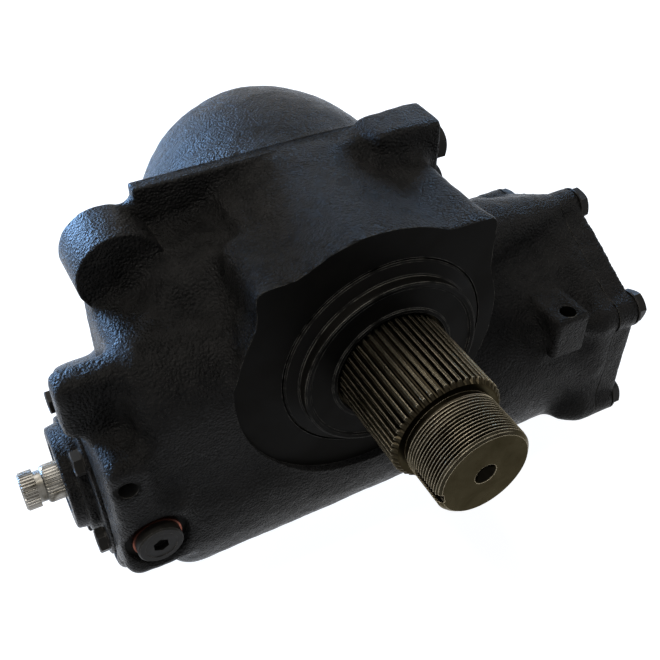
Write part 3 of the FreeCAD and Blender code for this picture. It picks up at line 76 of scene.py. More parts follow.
# %% [markdown]
# ## Camera, floor and light
# The photograph looks down on the front of the gear from its left, from very near, so the lens is
# short and the shaft looms. The camera is written as the place it stands on and the three
# directions of its frame, which come from matching known points of the gear.

# %% Camera
CAMERA_PLACE = Vector((-187.5, -275.5, 321.5)) * MM
CAMERA_RIGHT = Vector((0.8825, -0.4702, 0.003))
CAMERA_UP = Vector((0.3103, 0.5872, 0.7476))
camera = bpy.data.objects.new("camera", bpy.data.cameras.new("camera"))
collection.objects.link(camera)
camera.data.lens = 48.45
camera.data.sensor_width = 36
camera.data.clip_start = 0.01
facing = Matrix((CAMERA_RIGHT, CAMERA_UP, CAMERA_RIGHT.cross(CAMERA_UP))).transposed()
camera.matrix_world = Matrix.Translation(CAMERA_PLACE) @ facing.to_4x4()
bpy.context.scene.camera = camera
bpy.context.scene.view_settings.view_transform = "Standard"
print("camera distance from the serrations:", round(CAMERA_PLACE.length, 3), "m")

# %% [markdown]
# The window in the photograph stands behind the gear on its left, low down: it puts a cool sheen
# on every surface that turns that way. A large soft lamp overhead fills the tops, a patch of sky on
# the right cools the saddle between the drum and the barrel, a lamp above the shaft draws its
# crests, and a weak one near the camera keeps the front from going black. Each lamp stands where
# the surface that it is for mirrors the camera. An area lamp's power is worked out from the
# brightness that its face should have, so a lamp can change size and still look as bright.

# %% Lamps
def lamp(name, place, target, width, height, brightness, colour):
    light = bpy.data.lights.new(name, "AREA")
    light.shape = "RECTANGLE"
    light.size = width
    light.size_y = height
    light.energy = brightness * math.pi * width * height
    light.color = colour
    obj = bpy.data.objects.new(name, light)
    collection.objects.link(obj)
    obj.location = place
    obj.rotation_euler = (Vector(target) - Vector(place)).to_track_quat("-Z", "Y").to_euler()
    obj.visible_camera = False


MIDDLE = (0.0, 0.08, -0.02)
lamp("window", (-0.74, 1.25, 0.05), MIDDLE, width=1.1, height=0.36, brightness=50.0,
     colour=(0.30, 0.56, 1.0))
lamp("overhead", (0.0, 0.88, 1.16), MIDDLE, width=1.0, height=0.8, brightness=3.4,
     colour=(1.0, 0.95, 0.89))
lamp("skylight", (1.0, 0.95, 0.38), (0.11, 0.08, 0.02), width=0.36, height=0.30,
     brightness=14.0, colour=(0.30, 0.58, 1.0))
lamp("shaft_light", (-0.45, -0.05, 1.1), (0, -0.03, 0), width=0.35, height=0.35,
     brightness=26.0, colour=(1.0, 0.96, 0.90))
lamp("front_fill", (-0.5, -1.1, 0.7), MIDDLE, width=0.6, height=0.6, brightness=0.30,
     colour=(1.0, 0.97, 0.92))
print("lamps:", len(bpy.data.lights))

# %% [markdown]
# One small helper writes a node and its links in one line. It serves the world, the floor, the
# finishes and, later on, the shapes.

# %% Node helpers
def feed(tree, socket, value):
    """Links a socket to another node's output, or sets it to a plain value."""
    if hasattr(value, "is_output"):
        tree.links.new(value, socket)
    else:
        socket.default_value = value


def node(tree, kind, links=(), **values):
    """Adds a node. Values with an upper-case start are sockets, the others are settings.
    A socket's value may be another node's output."""
    made = tree.nodes.new(kind)
    for key, value in values.items():
        if key[0].islower():
            setattr(made, key, value)
        else:
            feed(tree, made.inputs[key.replace("_", " ")], value)
    for index, value in links:
        feed(tree, made.inputs[index], value)
    return made


def maths(tree, operation, first, second=0.0, third=None):
    links = [(0, first), (1, second)]
    if third is not None:
        links.append((2, third))
    return node(tree, "ShaderNodeMath", links, operation=operation).outputs[0]


def spread(tree, value, low, high, to_low=0.0, to_high=1.0):
    made = node(tree, "ShaderNodeMapRange",
                [(0, value), (1, low), (2, high), (3, to_low), (4, to_high)])
    return made.outputs[0]


def between(tree, factor, first, second):
    """A number between two, by a mask."""
    return node(tree, "ShaderNodeMix", [(0, factor), (2, first), (3, second)],
                data_type="FLOAT").outputs[0]


# %% [markdown]
# The background is plain white. The world and the floor answer with white only to camera,
# glossy and transmission rays, so the object itself is lit at a plain level, and the floor keeps
# a soft shadow.

# %% World
SEEN_RAYS = ("Is Camera Ray", "Is Glossy Ray", "Is Transmission Ray")
WORLD_STRENGTH = 0.22
WHITE = (1, 1, 1, 1)


def seen_mask(tree):
    """One where the camera, a reflection or a refraction looks, and nought for plain light."""
    path = node(tree, "ShaderNodeLightPath")
    total = path.outputs[SEEN_RAYS[0]]
    for ray in SEEN_RAYS[1:]:
        total = maths(tree, "MAXIMUM", total, path.outputs[ray])
    return total


def mixed(tree, plain, seen, target):
    """Shows one shader to plain light and another to the rays that look."""
    mix = node(tree, "ShaderNodeMixShader",
               [(0, seen_mask(tree)), (1, plain.outputs[0]), (2, seen.outputs[0])])
    tree.links.new(mix.outputs[0], target.inputs["Surface"])


world = bpy.data.worlds.new("studio")
bpy.context.scene.world = world
world.use_nodes = True
tree = world.node_tree
tree.nodes.clear()
mixed(tree,
      node(tree, "ShaderNodeBackground", Color=(0.80, 0.86, 1.0, 1), Strength=WORLD_STRENGTH),
      node(tree, "ShaderNodeBackground", Color=WHITE, Strength=1.0),
      node(tree, "ShaderNodeOutputWorld"))

# %% Floor
FLOOR_HALF = 3.0
FLOOR_GAP = 0.0005
FLOOR_GLOW = 0.94
floor_z = cad_box[0].z - FLOOR_GAP
floor_mesh = bpy.data.meshes.new("floor")
floor_mesh.from_pydata([(x * FLOOR_HALF, y * FLOOR_HALF, floor_z)
                        for x, y in ((-1, -1), (1, -1), (1, 1), (-1, 1))], [], [(0, 1, 2, 3)])
floor = bpy.data.objects.new("floor", floor_mesh)
collection.objects.link(floor)
floor_finish = bpy.data.materials.new("floor_white")
floor_finish.use_nodes = True
tree = floor_finish.node_tree
tree.nodes.clear()
plain_floor = node(tree, "ShaderNodeBsdfDiffuse", Color=(0.25, 0.25, 0.26, 1))
shaded = node(tree, "ShaderNodeBsdfDiffuse", Color=(0.34, 0.34, 0.34, 1))
glow = node(tree, "ShaderNodeEmission", Color=WHITE, Strength=FLOOR_GLOW)
white_floor = node(tree, "ShaderNodeAddShader", [(0, shaded.outputs[0]), (1, glow.outputs[0])])
mixed(tree, plain_floor, white_floor, node(tree, "ShaderNodeOutputMaterial"))
floor_mesh.materials.append(floor_finish)
print("floor at", round(floor_z, 4), "m")

# %% [markdown]
# ## Effects that several finishes share
# Each effect is a node group that puts out masks or a height. The finishes place it with their
# own values.

# %% Groups
SOCKETS = {int: "NodeSocketInt", float: "NodeSocketFloat", tuple: "NodeSocketVector",
           bpy.types.Material: "NodeSocketMaterial"}


def group(name, inputs, outputs, kind="ShaderNodeTree", result="NodeSocketFloat"):
    """An empty node group, from pairs of a name and a value, and the names of its results."""
    tree = bpy.data.node_groups.new(name, kind)
    for label, value in inputs:
        socket = tree.interface.new_socket(label, in_out="INPUT",
                                           socket_type=SOCKETS[type(value)])
        socket.default_value = value
    for label in outputs:
        tree.interface.new_socket(label, in_out="OUTPUT", socket_type=result)
    into, out = tree.nodes.new("NodeGroupInput"), tree.nodes.new("NodeGroupOutput")
    return tree, into.outputs, out.inputs


def place_effect(tree, effect, **values):
    """Places a group in a finish, and gives its results."""
    made = tree.nodes.new("ShaderNodeGroup")
    made.node_tree = effect
    for label, value in values.items():
        made.inputs[label.replace("_", " ")].default_value = value
    return made.outputs


def own_place(tree):
    """The place of the point that is shaded, in the piece's own frame."""
    return node(tree, "ShaderNodeTexCoord").outputs["Object"]


def from_axis(tree, first, second):
    """The distance from an axis, by the two coordinates across it."""
    across = node(tree, "ShaderNodeCombineXYZ", [(0, first), (1, second)])
    return node(tree, "ShaderNodeVectorMath", [(0, across.outputs[0])],
                operation="LENGTH").outputs["Value"]


# %% [markdown]
# Sand-cast iron under paint: pebbles of a millimetre or two that run together, with a finer
# grain on them. Bent and blurred Voronoi cells give the pebbles, and noise the rest.

# %% Cast skin
cast_skin, into, out = group("cast_skin", [("Pebble", 700.0), ("Grain", 1500.0)],
                             ["Height", "Tone"])
BEND = 0.0006
where = own_place(cast_skin)
bend = node(cast_skin, "ShaderNodeTexNoise", Vector=where, Scale=90.0, Detail=2.0)
shift = node(cast_skin, "ShaderNodeVectorMath", [(0, bend.outputs["Color"]), (1, (BEND,) * 3)],
             operation="MULTIPLY")
bent = node(cast_skin, "ShaderNodeVectorMath", [(0, where), (1, shift.outputs[0])],
            operation="ADD").outputs[0]
pebble = node(cast_skin, "ShaderNodeTexVoronoi", Vector=bent, Scale=into["Pebble"],
              feature="SMOOTH_F1", Smoothness=0.5)
grain = node(cast_skin, "ShaderNodeTexNoise", Vector=bent, Scale=into["Grain"],
             Detail=3.0, Roughness=0.6)
swell = node(cast_skin, "ShaderNodeTexNoise", Vector=where, Scale=110.0, Detail=4.0,
             Roughness=0.55)
raised = maths(cast_skin, "MULTIPLY_ADD", pebble.outputs["Distance"], -1.2, 1.2)
height = maths(cast_skin, "MULTIPLY_ADD", grain.outputs["Fac"], 0.9, raised)
height = maths(cast_skin, "MULTIPLY_ADD", swell.outputs["Fac"], 0.9, height)
feed(cast_skin, out["Height"], height)
feed(cast_skin, out["Tone"], spread(cast_skin, swell.outputs["Fac"], 0.35, 0.68))

# %% [markdown]
# Wear: paint rubs off where an edge stands proud. The Bevel node rounds the normal near an edge,
# and how far it turns away from the true normal says how near the edge is.

# %% Edge wear
edge_wear, into, out = group(
    "edge_wear", [("Reach", 0.0012), ("Patchiness", 220.0), ("Cover", 0.0)], ["Wear"])
round_normal = node(edge_wear, "ShaderNodeBevel", samples=4, Radius=into["Reach"])
true_normal = node(edge_wear, "ShaderNodeNewGeometry").outputs["Normal"]
agreement = node(edge_wear, "ShaderNodeVectorMath",
                 [(0, round_normal.outputs[0]), (1, true_normal)], operation="DOT_PRODUCT")
edge = spread(edge_wear, agreement.outputs["Value"], 0.99, 0.86)
where = own_place(edge_wear)
patches = node(edge_wear, "ShaderNodeTexNoise", Vector=where, Scale=into["Patchiness"],
               Detail=4.0)
covered = maths(edge_wear, "ADD", patches.outputs["Fac"], into["Cover"])
patchy = spread(edge_wear, covered, 0.42, 0.62)
feed(edge_wear, out["Wear"], maths(edge_wear, "MULTIPLY", edge, patchy))

# %% [markdown]
# Bare steel that has stood in oil: brown film in clouds and streaks, and small dark specks.

# %% Oil film
oil_film, into, out = group("oil_film", [("Cloud", 45.0), ("Speck", 700.0)], ["Film", "Specks"])
where = own_place(oil_film)
cloud = node(oil_film, "ShaderNodeTexNoise", Vector=where, Scale=into["Cloud"],
             Detail=6.0, Roughness=0.62, Distortion=0.6)
speck = node(oil_film, "ShaderNodeTexNoise", Vector=where, Scale=into["Speck"], Detail=2.0)
feed(oil_film, out["Film"], spread(oil_film, cloud.outputs["Fac"], 0.38, 0.66))
feed(oil_film, out["Specks"], spread(oil_film, speck.outputs["Fac"], 0.62, 0.74))

# %% [markdown]
# Turning marks: fine rings about the axis that a piece was turned on. They are noise that is read
# at the distance from that axis.

# %% Turning marks
turning, into, out = group("turning_marks", [("Rings", 2600.0), ("Along Y", 1.0)], ["Height"])
parts = node(turning, "ShaderNodeSeparateXYZ", [(0, own_place(turning))]).outputs
radius_y = from_axis(turning, parts["X"], parts["Z"])
radius_x = from_axis(turning, maths(turning, "SUBTRACT", parts["Y"], PISTON[0] * MM),
                     maths(turning, "SUBTRACT", parts["Z"], PISTON[1] * MM))
both = between(turning, into["Along Y"], radius_x, radius_y)
rings = node(turning, "ShaderNodeTexNoise", noise_dimensions="1D",
             W=maths(turning, "MULTIPLY", both, into["Rings"]), Scale=1.0, Detail=3.0)
feed(turning, out["Height"], rings.outputs["Fac"])

# %% [markdown]
# Grime, where no cloth reaches, and painted shade both lie in the grooves of the output shaft: the
# deeper a point lies, the more it takes the darker groove colour. How deep a point lies is its
# distance from the output axis, measured down from the crests. The serrations and the smaller
# thread have crests at different radii, so the thread is told by its place along the axis. What
# lies deeper than any groove is the plain neck between them, which the mask leaves out. A second
# mask paints
# shade in the dark places: under the dust cover, and in the centre hole.

# %% Grime and painted shade in the grooves
groove_grime_and_shade, into, out = group("groove_grime_and_shade", [
    ("Serration crest", 0.0315), ("Thread crest", 0.026), ("Thread start", -0.0496),
    ("Tip", -0.0758), ("Depth", 0.0011), ("Deepest", 3.0),
    ("Cover", 0.0046), ("Hole", 0.0058)], ["Grime", "Painted shade"])
parts = node(groove_grime_and_shade, "ShaderNodeSeparateXYZ", [(0, own_place(groove_grime_and_shade))]).outputs
radius = from_axis(groove_grime_and_shade, parts["X"], parts["Z"])
reckon = functools.partial(maths, groove_grime_and_shade)
on_thread = reckon("LESS_THAN", parts["Y"], into["Thread start"])
crest = between(groove_grime_and_shade, on_thread, into["Serration crest"], into["Thread crest"])
sunk = reckon("DIVIDE", reckon("SUBTRACT", crest, radius), into["Depth"])
behind_tip = reckon("GREATER_THAN", parts["Y"], into["Tip"])
in_groove = reckon("LESS_THAN", sunk, into["Deepest"])
grimy_and_shaded = reckon("MULTIPLY", spread(groove_grime_and_shade, sunk, 0.12, 1.0), behind_tip)
feed(groove_grime_and_shade, out["Grime"], reckon("MULTIPLY", grimy_and_shaded, in_groove))
# Painted shade: the part of the shaft under the dust cover, and the centre hole.
under_cover = reckon("GREATER_THAN", parts["Y"], into["Cover"])
in_hole = reckon("LESS_THAN", radius, into["Hole"])
feed(groove_grime_and_shade, out["Painted shade"], reckon("MAXIMUM", under_cover, in_hole))
print("effects:", [g.name for g in bpy.data.node_groups])

# %% [markdown]
# ## Finishes
# One function starts every finish with its Principled shader and constant values on its sockets.
# The rest of each finish is written out, because that is where the pieces differ.

# %% Start of a finish
def finish(name, **values):
    material = bpy.data.materials.new(name)
    material.use_nodes = True
    tree = material.node_tree
    shader = tree.nodes["Principled BSDF"]
    for label, value in values.items():
        shader.inputs[label.replace("_", " ")].default_value = value
    return material, tree, shader


def blended(tree, factor, first, second):
    """A colour between two, by a mask."""
    made = node(tree, "ShaderNodeMix", [(0, factor)], data_type="RGBA")
    for index, value in ((6, first), (7, second)):
        feed(tree, made.inputs[index], value if hasattr(value, "is_output") else (*value, 1))
    return made.outputs[2]


def coloured(tree, shader, factor, first, second):
    """Blends two colours by a mask into the finish's own colour."""
    tree.links.new(blended(tree, factor, first, second), shader.inputs["Base Color"])


def bumped(tree, shader, height, strength, depth):
    made = node(tree, "ShaderNodeBump", Height=height, Strength=strength, Distance=depth)
    tree.links.new(made.outputs[0], shader.inputs["Normal"])


def roughened(tree, shader, mask, smooth, rough):
    """Spreads the roughness between two values, by a mask."""
    tree.links.new(spread(tree, mask, 0.0, 1.0, smooth, rough), shader.inputs["Roughness"])


# %% [markdown]
# Black paint over the raw casting. It is satin, a little bluish where it is thick, greyer where
# dust has settled, and rubbed to grey on the edges.

# %% Painted casting
painted_cast, tree, shader = finish("painted_cast", IOR=1.5, Specular_IOR_Level=0.05)
skin = place_effect(tree, cast_skin)
wear = place_effect(tree, edge_wear, Reach=0.0016)
paint = blended(tree, skin["Tone"], (0.0042, 0.0040, 0.0037), (0.0095, 0.0090, 0.0084))
worn = maths(tree, "MULTIPLY", wear["Wear"], 0.55)
coloured(tree, shader, worn, paint, (0.075, 0.070, 0.062))
roughened(tree, shader, skin["Tone"], 0.24, 0.36)
bumped(tree, shader, skin["Height"], 1.0, 0.0008)

# %% [markdown]
# The same paint over a machined face is smoother and reads blacker. Its tool marks show through.

# %% Painted machined face
painted_machined, tree, shader = finish("painted_machined", IOR=1.5, Specular_IOR_Level=0.03)
marks = place_effect(tree, turning)
wear = place_effect(tree, edge_wear, Reach=0.0007, Patchiness=160.0, Cover=0.06)
film = place_effect(tree, oil_film, Cloud=30.0)
paint = blended(tree, film["Film"], (0.0024, 0.0023, 0.0020), (0.0046, 0.0042, 0.0035))
coloured(tree, shader, wear["Wear"], paint, (0.22, 0.21, 0.18))
roughened(tree, shader, film["Film"], 0.42, 0.6)
bumped(tree, shader, marks["Height"], 0.25, 0.0002)

# %% [markdown]
# The output shaft's steel has a warm, oily cast. Grime and painted shade darken the hollows of the
# serrations and the thread, and their rubbed crests look bright and dull beside them. Painted shade
# makes the steel near black under the dust cover and in the centre hole.

# %% Worn steel
worn_steel, tree, shader = finish("worn_steel", Metallic=1.0,
                                  Specular_Tint=(0.63, 0.60, 0.54, 1.0))
film = place_effect(tree, oil_film, Cloud=60.0, Speck=900.0)
wear = place_effect(tree, edge_wear, Reach=0.0004, Patchiness=90.0, Cover=0.22)
groove_masks = place_effect(tree, groove_grime_and_shade)
marks = place_effect(tree, turning, Rings=1900.0)
steel = blended(tree, film["Film"], (0.026, 0.023, 0.015), (0.014, 0.012, 0.007))
steel = blended(tree, film["Specks"], steel, (0.014, 0.010, 0.006))
steel = blended(tree, wear["Wear"], steel, (0.54, 0.47, 0.35))
# Grime and painted shade in the hollows of the serrations and the thread.
steel = blended(tree, groove_masks["Grime"], steel, (0.016, 0.013, 0.008))
# Painted shade, near black, under the dust cover and in the centre hole.
coloured(tree, shader, groove_masks["Painted shade"], steel, (0.004, 0.0035, 0.0025))
dull = spread(tree, film["Film"], 0.0, 1.0, 0.26, 0.40)
tree.links.new(between(tree, wear["Wear"], dull, 0.55), shader.inputs["Roughness"])
bumped(tree, shader, marks["Height"], 0.12, 0.0001)

# %% [markdown]
# The input shaft is ground, and its coupling keeps it clean, so it is the brightest piece. The
# hidden steel wears the same finish. One value turns the marks to the piston's axis.

# %% Bright steel
bright_steel, tree, shader = finish("bright_steel", Metallic=1.0)
film = place_effect(tree, oil_film, Cloud=70.0)
marks = place_effect(tree, turning, Along_Y=0.0)
coloured(tree, shader, film["Film"], (0.24, 0.23, 0.21), (0.060, 0.054, 0.042))
roughened(tree, shader, film["Film"], 0.22, 0.38)
bumped(tree, shader, marks["Height"], 0.2, 0.0001)

# %% [markdown]
# Bolts, plugs and the locknut are black as well, but they are forged and turned, so they shine a
# little more and their corners are rubbed.

# %% Black bolts
black_bolt, tree, shader = finish("black_bolt", IOR=1.5, Specular_IOR_Level=0.10)
film = place_effect(tree, oil_film, Cloud=90.0)
wear = place_effect(tree, edge_wear, Reach=0.0006, Patchiness=300.0)
paint = blended(tree, film["Film"], (0.0055, 0.0052, 0.0048), (0.013, 0.012, 0.010))
coloured(tree, shader, wear["Wear"], paint, (0.12, 0.11, 0.10))
roughened(tree, shader, film["Film"], 0.36, 0.52)
bumped(tree, shader, film["Film"], 0.2, 0.0003)

# %% [markdown]
# Copper, rubber and the seals' plastic differ only in their two colours and their roughness.

# %% Copper, rubber and plastic
def filmed(name, cloud, clean, dirty, smooth, rough, **values):
    """A finish that goes from one colour to another by the oil film alone."""
    material, tree, shader = finish(name, **values)
    film = place_effect(tree, oil_film, Cloud=cloud)
    coloured(tree, shader, film["Film"], clean, dirty)
    roughened(tree, shader, film["Film"], smooth, rough)
    return material


copper = filmed("copper_washer", 160.0, (0.19, 0.060, 0.038), (0.070, 0.026, 0.018), 0.3, 0.5,
                Metallic=1.0)
rubber = filmed("black_rubber", 120.0, (0.012, 0.012, 0.012), (0.03, 0.03, 0.03), 0.5, 0.7,
                Specular_IOR_Level=0.3)
ring_plastic = filmed("seal_plastic", 80.0, (0.05, 0.16, 0.15), (0.03, 0.09, 0.09), 0.35, 0.5,
                      Specular_IOR_Level=0.4)

# %% [markdown]
# Every piece of the CAD model has a material slot. A table gives each slot its finish, so the
# pieces that need no new shape are dressed in one loop.

# %% Finishes for the CAD pieces
FINISHES = {"casting": painted_cast, "machined_dark": painted_machined,
            "machined_steel": worn_steel, "bearing_steel": bright_steel,
            "bolt_black": black_bolt, "copper": copper, "rubber": rubber,
            "ring_plastic": ring_plastic}


def wear_finish(obj, *materials):
    obj.data.materials.clear()
    for material in materials:
        obj.data.materials.append(material)


for part in frame["record"]["subparts"]:
    wear_finish(nodes[part["node"]], FINISHES[part["material_slot"]])
wear_finish(nodes["input_shaft"], bright_steel)
print("finishes:", sorted(m.name for m in bpy.data.materials))

# %% [markdown]
# ## The casting
# The CAD casting is right in size, but its forms meet in hard lines, and sand-cast iron never
# does. A voxel remesh turns the whole casting into one skin. The skin is then pushed out and
# drawn back in again: what a ball of that size can't reach stays filled, which gives every inner
# corner the fillet that a pattern maker would. A little smoothing rounds the outer corners.
# The bores are plugged first, so that they don't fill unevenly, and cut clean afterwards.

# %% Bars and blocks
AXIS_TURN = {"X": Matrix.Rotation(math.pi / 2, 4, "Y"),
             "Y": Matrix.Rotation(-math.pi / 2, 4, "X"), "Z": Matrix.Identity(4)}
MERGE_GAP = 1e-6


def solid(name, shape):
    """An object made from a bmesh, which is freed."""
    mesh = bpy.data.meshes.new(name)
    shape.to_mesh(mesh)
    shape.free()
    obj = bpy.data.objects.new(name, mesh)
    collection.objects.link(obj)
    return obj


def point_by(axis, along, across):
    """A point from its place along an axis and the two coordinates across it, in mm."""
    return Vector({"X": (along, *across), "Y": (across[0], along, across[1]),
                   "Z": (*across, along)}[axis]) * MM


def bar(radius, start, end, axis, centre, end_radius=None, sides=96):
    """A round bar in millimetres from start to end along an axis."""
    shape = bmesh.new()
    last = radius if end_radius is None else end_radius
    bmesh.ops.create_cone(shape, cap_ends=True, segments=sides, radius1=radius * MM,
                          radius2=last * MM, depth=abs(end - start) * MM)
    middle = point_by(axis, (start + end) / 2, centre)
    shape.transform(Matrix.Translation(middle) @ AXIS_TURN[axis])
    return solid("bar", shape)


def brick(low, high):
    shape = bmesh.new()
    bmesh.ops.create_cube(shape, size=1)
    low, high = Vector(low) * MM, Vector(high) * MM
    size = high - low
    shape.transform(Matrix.Translation((low + high) / 2) @ Matrix.Diagonal((*size, 1)))
    return solid("brick", shape)


def turned(name, profile, axis, centre, sides=128):
    """A closed solid turned about an axis, from points of radius and place along it in mm.
    A profile that starts and ends on the axis is a disc; any other is a ring."""
    shape = bmesh.new()
    rings = []
    for radius, along in profile:
        ring = []
        for step in range(sides):
            turn = math.tau * step / sides
            across = (centre[0] + radius * math.cos(turn), centre[1] + radius * math.sin(turn))
            ring.append(shape.verts.new(point_by(axis, along, across)))
        rings.append(ring)
    on_axis = profile[0][0] == 0 and profile[-1][0] == 0
    for low, high in zip(rings, rings[1:] + ([] if on_axis else rings[:1])):
        for step in range(sides):
            after = (step + 1) % sides
            shape.faces.new((low[step], low[after], high[after], high[step]))
    bmesh.ops.remove_doubles(shape, verts=shape.verts, dist=MERGE_GAP / 10)
    bmesh.ops.recalc_face_normals(shape, faces=shape.faces)
    return solid(name, shape)


def hull(points):
    """The tightest closed skin round some points."""
    shape = bmesh.new()
    for point in points:
        shape.verts.new(Vector(point) * MM)
    result = bmesh.ops.convex_hull(shape, input=shape.verts)
    loose = {v for v in result["geom_interior"] + result["geom_unused"]
             if isinstance(v, bmesh.types.BMVert)}
    bmesh.ops.delete(shape, geom=list(loose), context="VERTS")
    bmesh.ops.recalc_face_normals(shape, faces=shape.faces)
    return solid("hull", shape)


def slab(outline, start, end):
    """A prism along Y over an outline of X and Z."""
    shape = bmesh.new()
    ring = [shape.verts.new((x * MM, start * MM, z * MM)) for x, z in outline]
    face = shape.faces.new(ring)
    grown = bmesh.ops.extrude_face_region(shape, geom=[face])
    far = [v for v in grown["geom"] if isinstance(v, bmesh.types.BMVert)]
    bmesh.ops.translate(shape, verts=far, vec=(0, (end - start) * MM, 0))
    bmesh.ops.recalc_face_normals(shape, faces=shape.faces)
    return solid("slab", shape)


def drop(*objects):
    for obj in objects:
        mesh = obj.data
        bpy.data.objects.remove(obj)
        bpy.data.meshes.remove(mesh)


def joined(name, objects):
    shape = bmesh.new()
    for obj in objects:
        shape.from_mesh(obj.data)
    drop(*objects)
    return solid(name, shape)


def copy_of(name, label):
    """A merged copy of a CAD node's mesh."""
    shape = bmesh.new()
    shape.from_mesh(nodes[name].data)
    bmesh.ops.remove_doubles(shape, verts=shape.verts, dist=MERGE_GAP)
    return solid(label, shape)


def settled(obj):
    """Makes the modifiers' result the object's own mesh."""
    graph = bpy.context.evaluated_depsgraph_get()
    mesh = bpy.data.meshes.new_from_object(obj.evaluated_get(graph))
    obj.modifiers.clear()
    old = obj.data
    obj.data = mesh
    bpy.data.meshes.remove(old)
    return obj


# %% Skin and fillets
VOXEL = 1.8


def skinned(obj, size=VOXEL):
    remesh = obj.modifiers.new("skin", "REMESH")
    remesh.mode = "VOXEL"
    remesh.voxel_size = size * MM
    return settled(obj)


def pushed(obj, distance):
    """Moves the skin along its own normals, in millimetres."""
    mesh = obj.data
    count = len(mesh.vertices) * 3
    place, normal = np.empty(count, np.float32), np.empty(count, np.float32)
    mesh.vertices.foreach_get("co", place)
    mesh.vertex_normals.foreach_get("vector", normal)
    mesh.vertices.foreach_set("co", place + normal * distance * MM)
    mesh.update()
    return obj


def filleted(obj, radius, steps=3):
    """Pushes the skin out and draws it back in, by a radius in millimetres."""
    for way in (1, -1):
        for _ in range(steps):
            skinned(pushed(obj, way * radius / steps))
    return obj


def softened(obj, factor, rounds):
    smooth = obj.modifiers.new("soften", "SMOOTH")
    smooth.factor = factor
    smooth.iterations = rounds
    return settled(obj)


def carved(obj, tools, operation="DIFFERENCE"):
    """Cuts each tool out of the object, or adds it with UNION, by the manifold solver."""
    for tool in tools:
        cut = obj.modifiers.new("cut", "BOOLEAN")
        cut.operation = operation
        cut.solver = "MANIFOLD"
        cut.object = tool
        settled(obj)
    drop(*tools)
    return obj


def eased(obj, width, segments=2):
    """Rounds the sharp edges of a simple solid, in millimetres."""
    bevel = obj.modifiers.new("ease", "BEVEL")
    bevel.width = width * MM
    bevel.segments = segments
    bevel.limit_method = "ANGLE"
    return settled(obj)


# %% [markdown]
# Where the real casting is milled, a little spare iron is added before the skin is made, so that
# the mill leaves a flat face with a sharp edge all round. Centres are given by the two axes that
# cross them, and faces by their place along the third, all in millimetres.

# %% Places on the casting
DRUM = (-7, 3)
LEFT_BOSS = (-114, 48)
LUG_THREAD = (-78, 61)
BRACKET_THREAD = (127, 12)
RELIEF_PLUG = (-136, -72)
DRILLED_PIT = (-146, -24)
PORT_PAIR = (99, 49.5)
PORT_CIRCLE = 12.5
PORTS = [(PORT_PAIR[0], PORT_PAIR[1] + side * PORT_CIRCLE) for side in (1, -1)]
FRONT = 13.5
MOUNT = 110
PLATE_FRONT = 102
COVER_JOINT = 166
INPUT_FACE = -152
PORT_FACE = 74
PLUG_FACE = 14
STRETCH = 6


def bolt_places(radius, count, first):
    """Places of Y and Z on a circle about the piston's axis, by degrees."""
    turns = [math.radians(first + 360 * i / count) for i in range(count)]
    return [(PISTON[0] + radius * math.cos(t), PISTON[1] + radius * math.sin(t)) for t in turns]


INPUT_CIRCLE = 43.5
END_BOLTS = bolt_places(76, 6, 30)
INPUT_BOLTS = bolt_places(INPUT_CIRCLE, 5, 270)
print("bolts:", len(END_BOLTS), "and", len(INPUT_BOLTS))


# %% Rough casting
def arc(radius, start, end, steps=12, centre=(0, 0)):
    """Points of X and Z on a circle, by degrees."""
    turns = [math.radians(start + (end - start) * i / steps) for i in range(steps + 1)]
    return [(centre[0] + radius * math.cos(t), centre[1] + radius * math.sin(t)) for t in turns]


def stretched(obj, axis, place, distance):
    """Pulls the end of a piece, beyond a place along X, Y or Z, out by a distance."""
    index = AXIS[axis]
    for vertex in obj.data.vertices:
        if (vertex.co[index] - place * MM) * distance > 0:
            vertex.co[index] += distance * MM
    return obj


plugs = [bar(56, -112, 172, "X", PISTON), bar(36, -151.5, -105, "X", PISTON),
         bar(61, 14, 118, "Y", (0, 0)), bar(38, 115, 153, "Y", (0, 0)),
         bar(10, 150, 203, "Y", (0, 0))]
spare = [bar(77, 9, 20, "Y", DRUM), brick((-71, 9, 0), (64, 20, 67)),
         bar(61, -156, -146, "X", PISTON), bar(23.5, 100, 114, "Y", LEFT_BOSS),
         brick((-96, 100, 47), (-60, 114, 79)), brick((60, 84, 24), (77, 112, 84))]
shoulder = hull([(-97, 103, 54), (-97, 84, 54), (-57, 103, 58), (-57, 84, 58), (-96, 62, 46),
                 (-57, 55, 50), (-112, 100, 34), (-112, 60, 34), (-104, 46, 24), (-57, 36, 30),
                 (-57, 103, 0), (-112, 100, 0), (-110, 50, 0), (-57, 50, 0)])
iron = stretched(copy_of("housing", "cad_casting"), "X", COVER_JOINT - 0.01, STRETCH)
casting = joined("gear_casting", [iron, shoulder, *plugs, *spare])
skinned(casting)
print("first skin:", len(casting.data.polygons), "faces")

# %% [markdown]
# The lug plate stands back from the shoulder in front of it. That place is cut before the corners
# are filled, along the drum's edge.

# %% Pocket in front of the lug plate
pocket = slab([(-112, 54), (-62, 57), (-57, 62), (-55, 68.5), (-47.5, 69),
               *arc(77.4, 121, 103, 3, DRUM), (-20, 95), (-112, 95)], 60, PLATE_FRONT)
carved(casting, [pocket])
filleted(casting, 3.6)
softened(casting, 0.5, 3)
print("rough casting:", len(casting.data.polygons), "faces")

# %% [markdown]
# The skin melts the corners of the small forms too. On the real casting the lug plate, the left
# boss and the bracket's lug stand crisp out of soft feet, so those forms are added again at their
# true size, with edges rounded by a few millimetres at most.

# %% Crisp forms on the casting
crisp = [
    eased(brick((-97, PLATE_FRONT, 50), (40, MOUNT + 1, 80)), 1.4),
    eased(bar(23.5, 80, MOUNT + 1, "Y", LEFT_BOSS), 1.2),
    eased(brick((115, 4.4, -50), (139, 60, -20)), 3.2, 4),
]
carved(casting, crisp, "UNION")

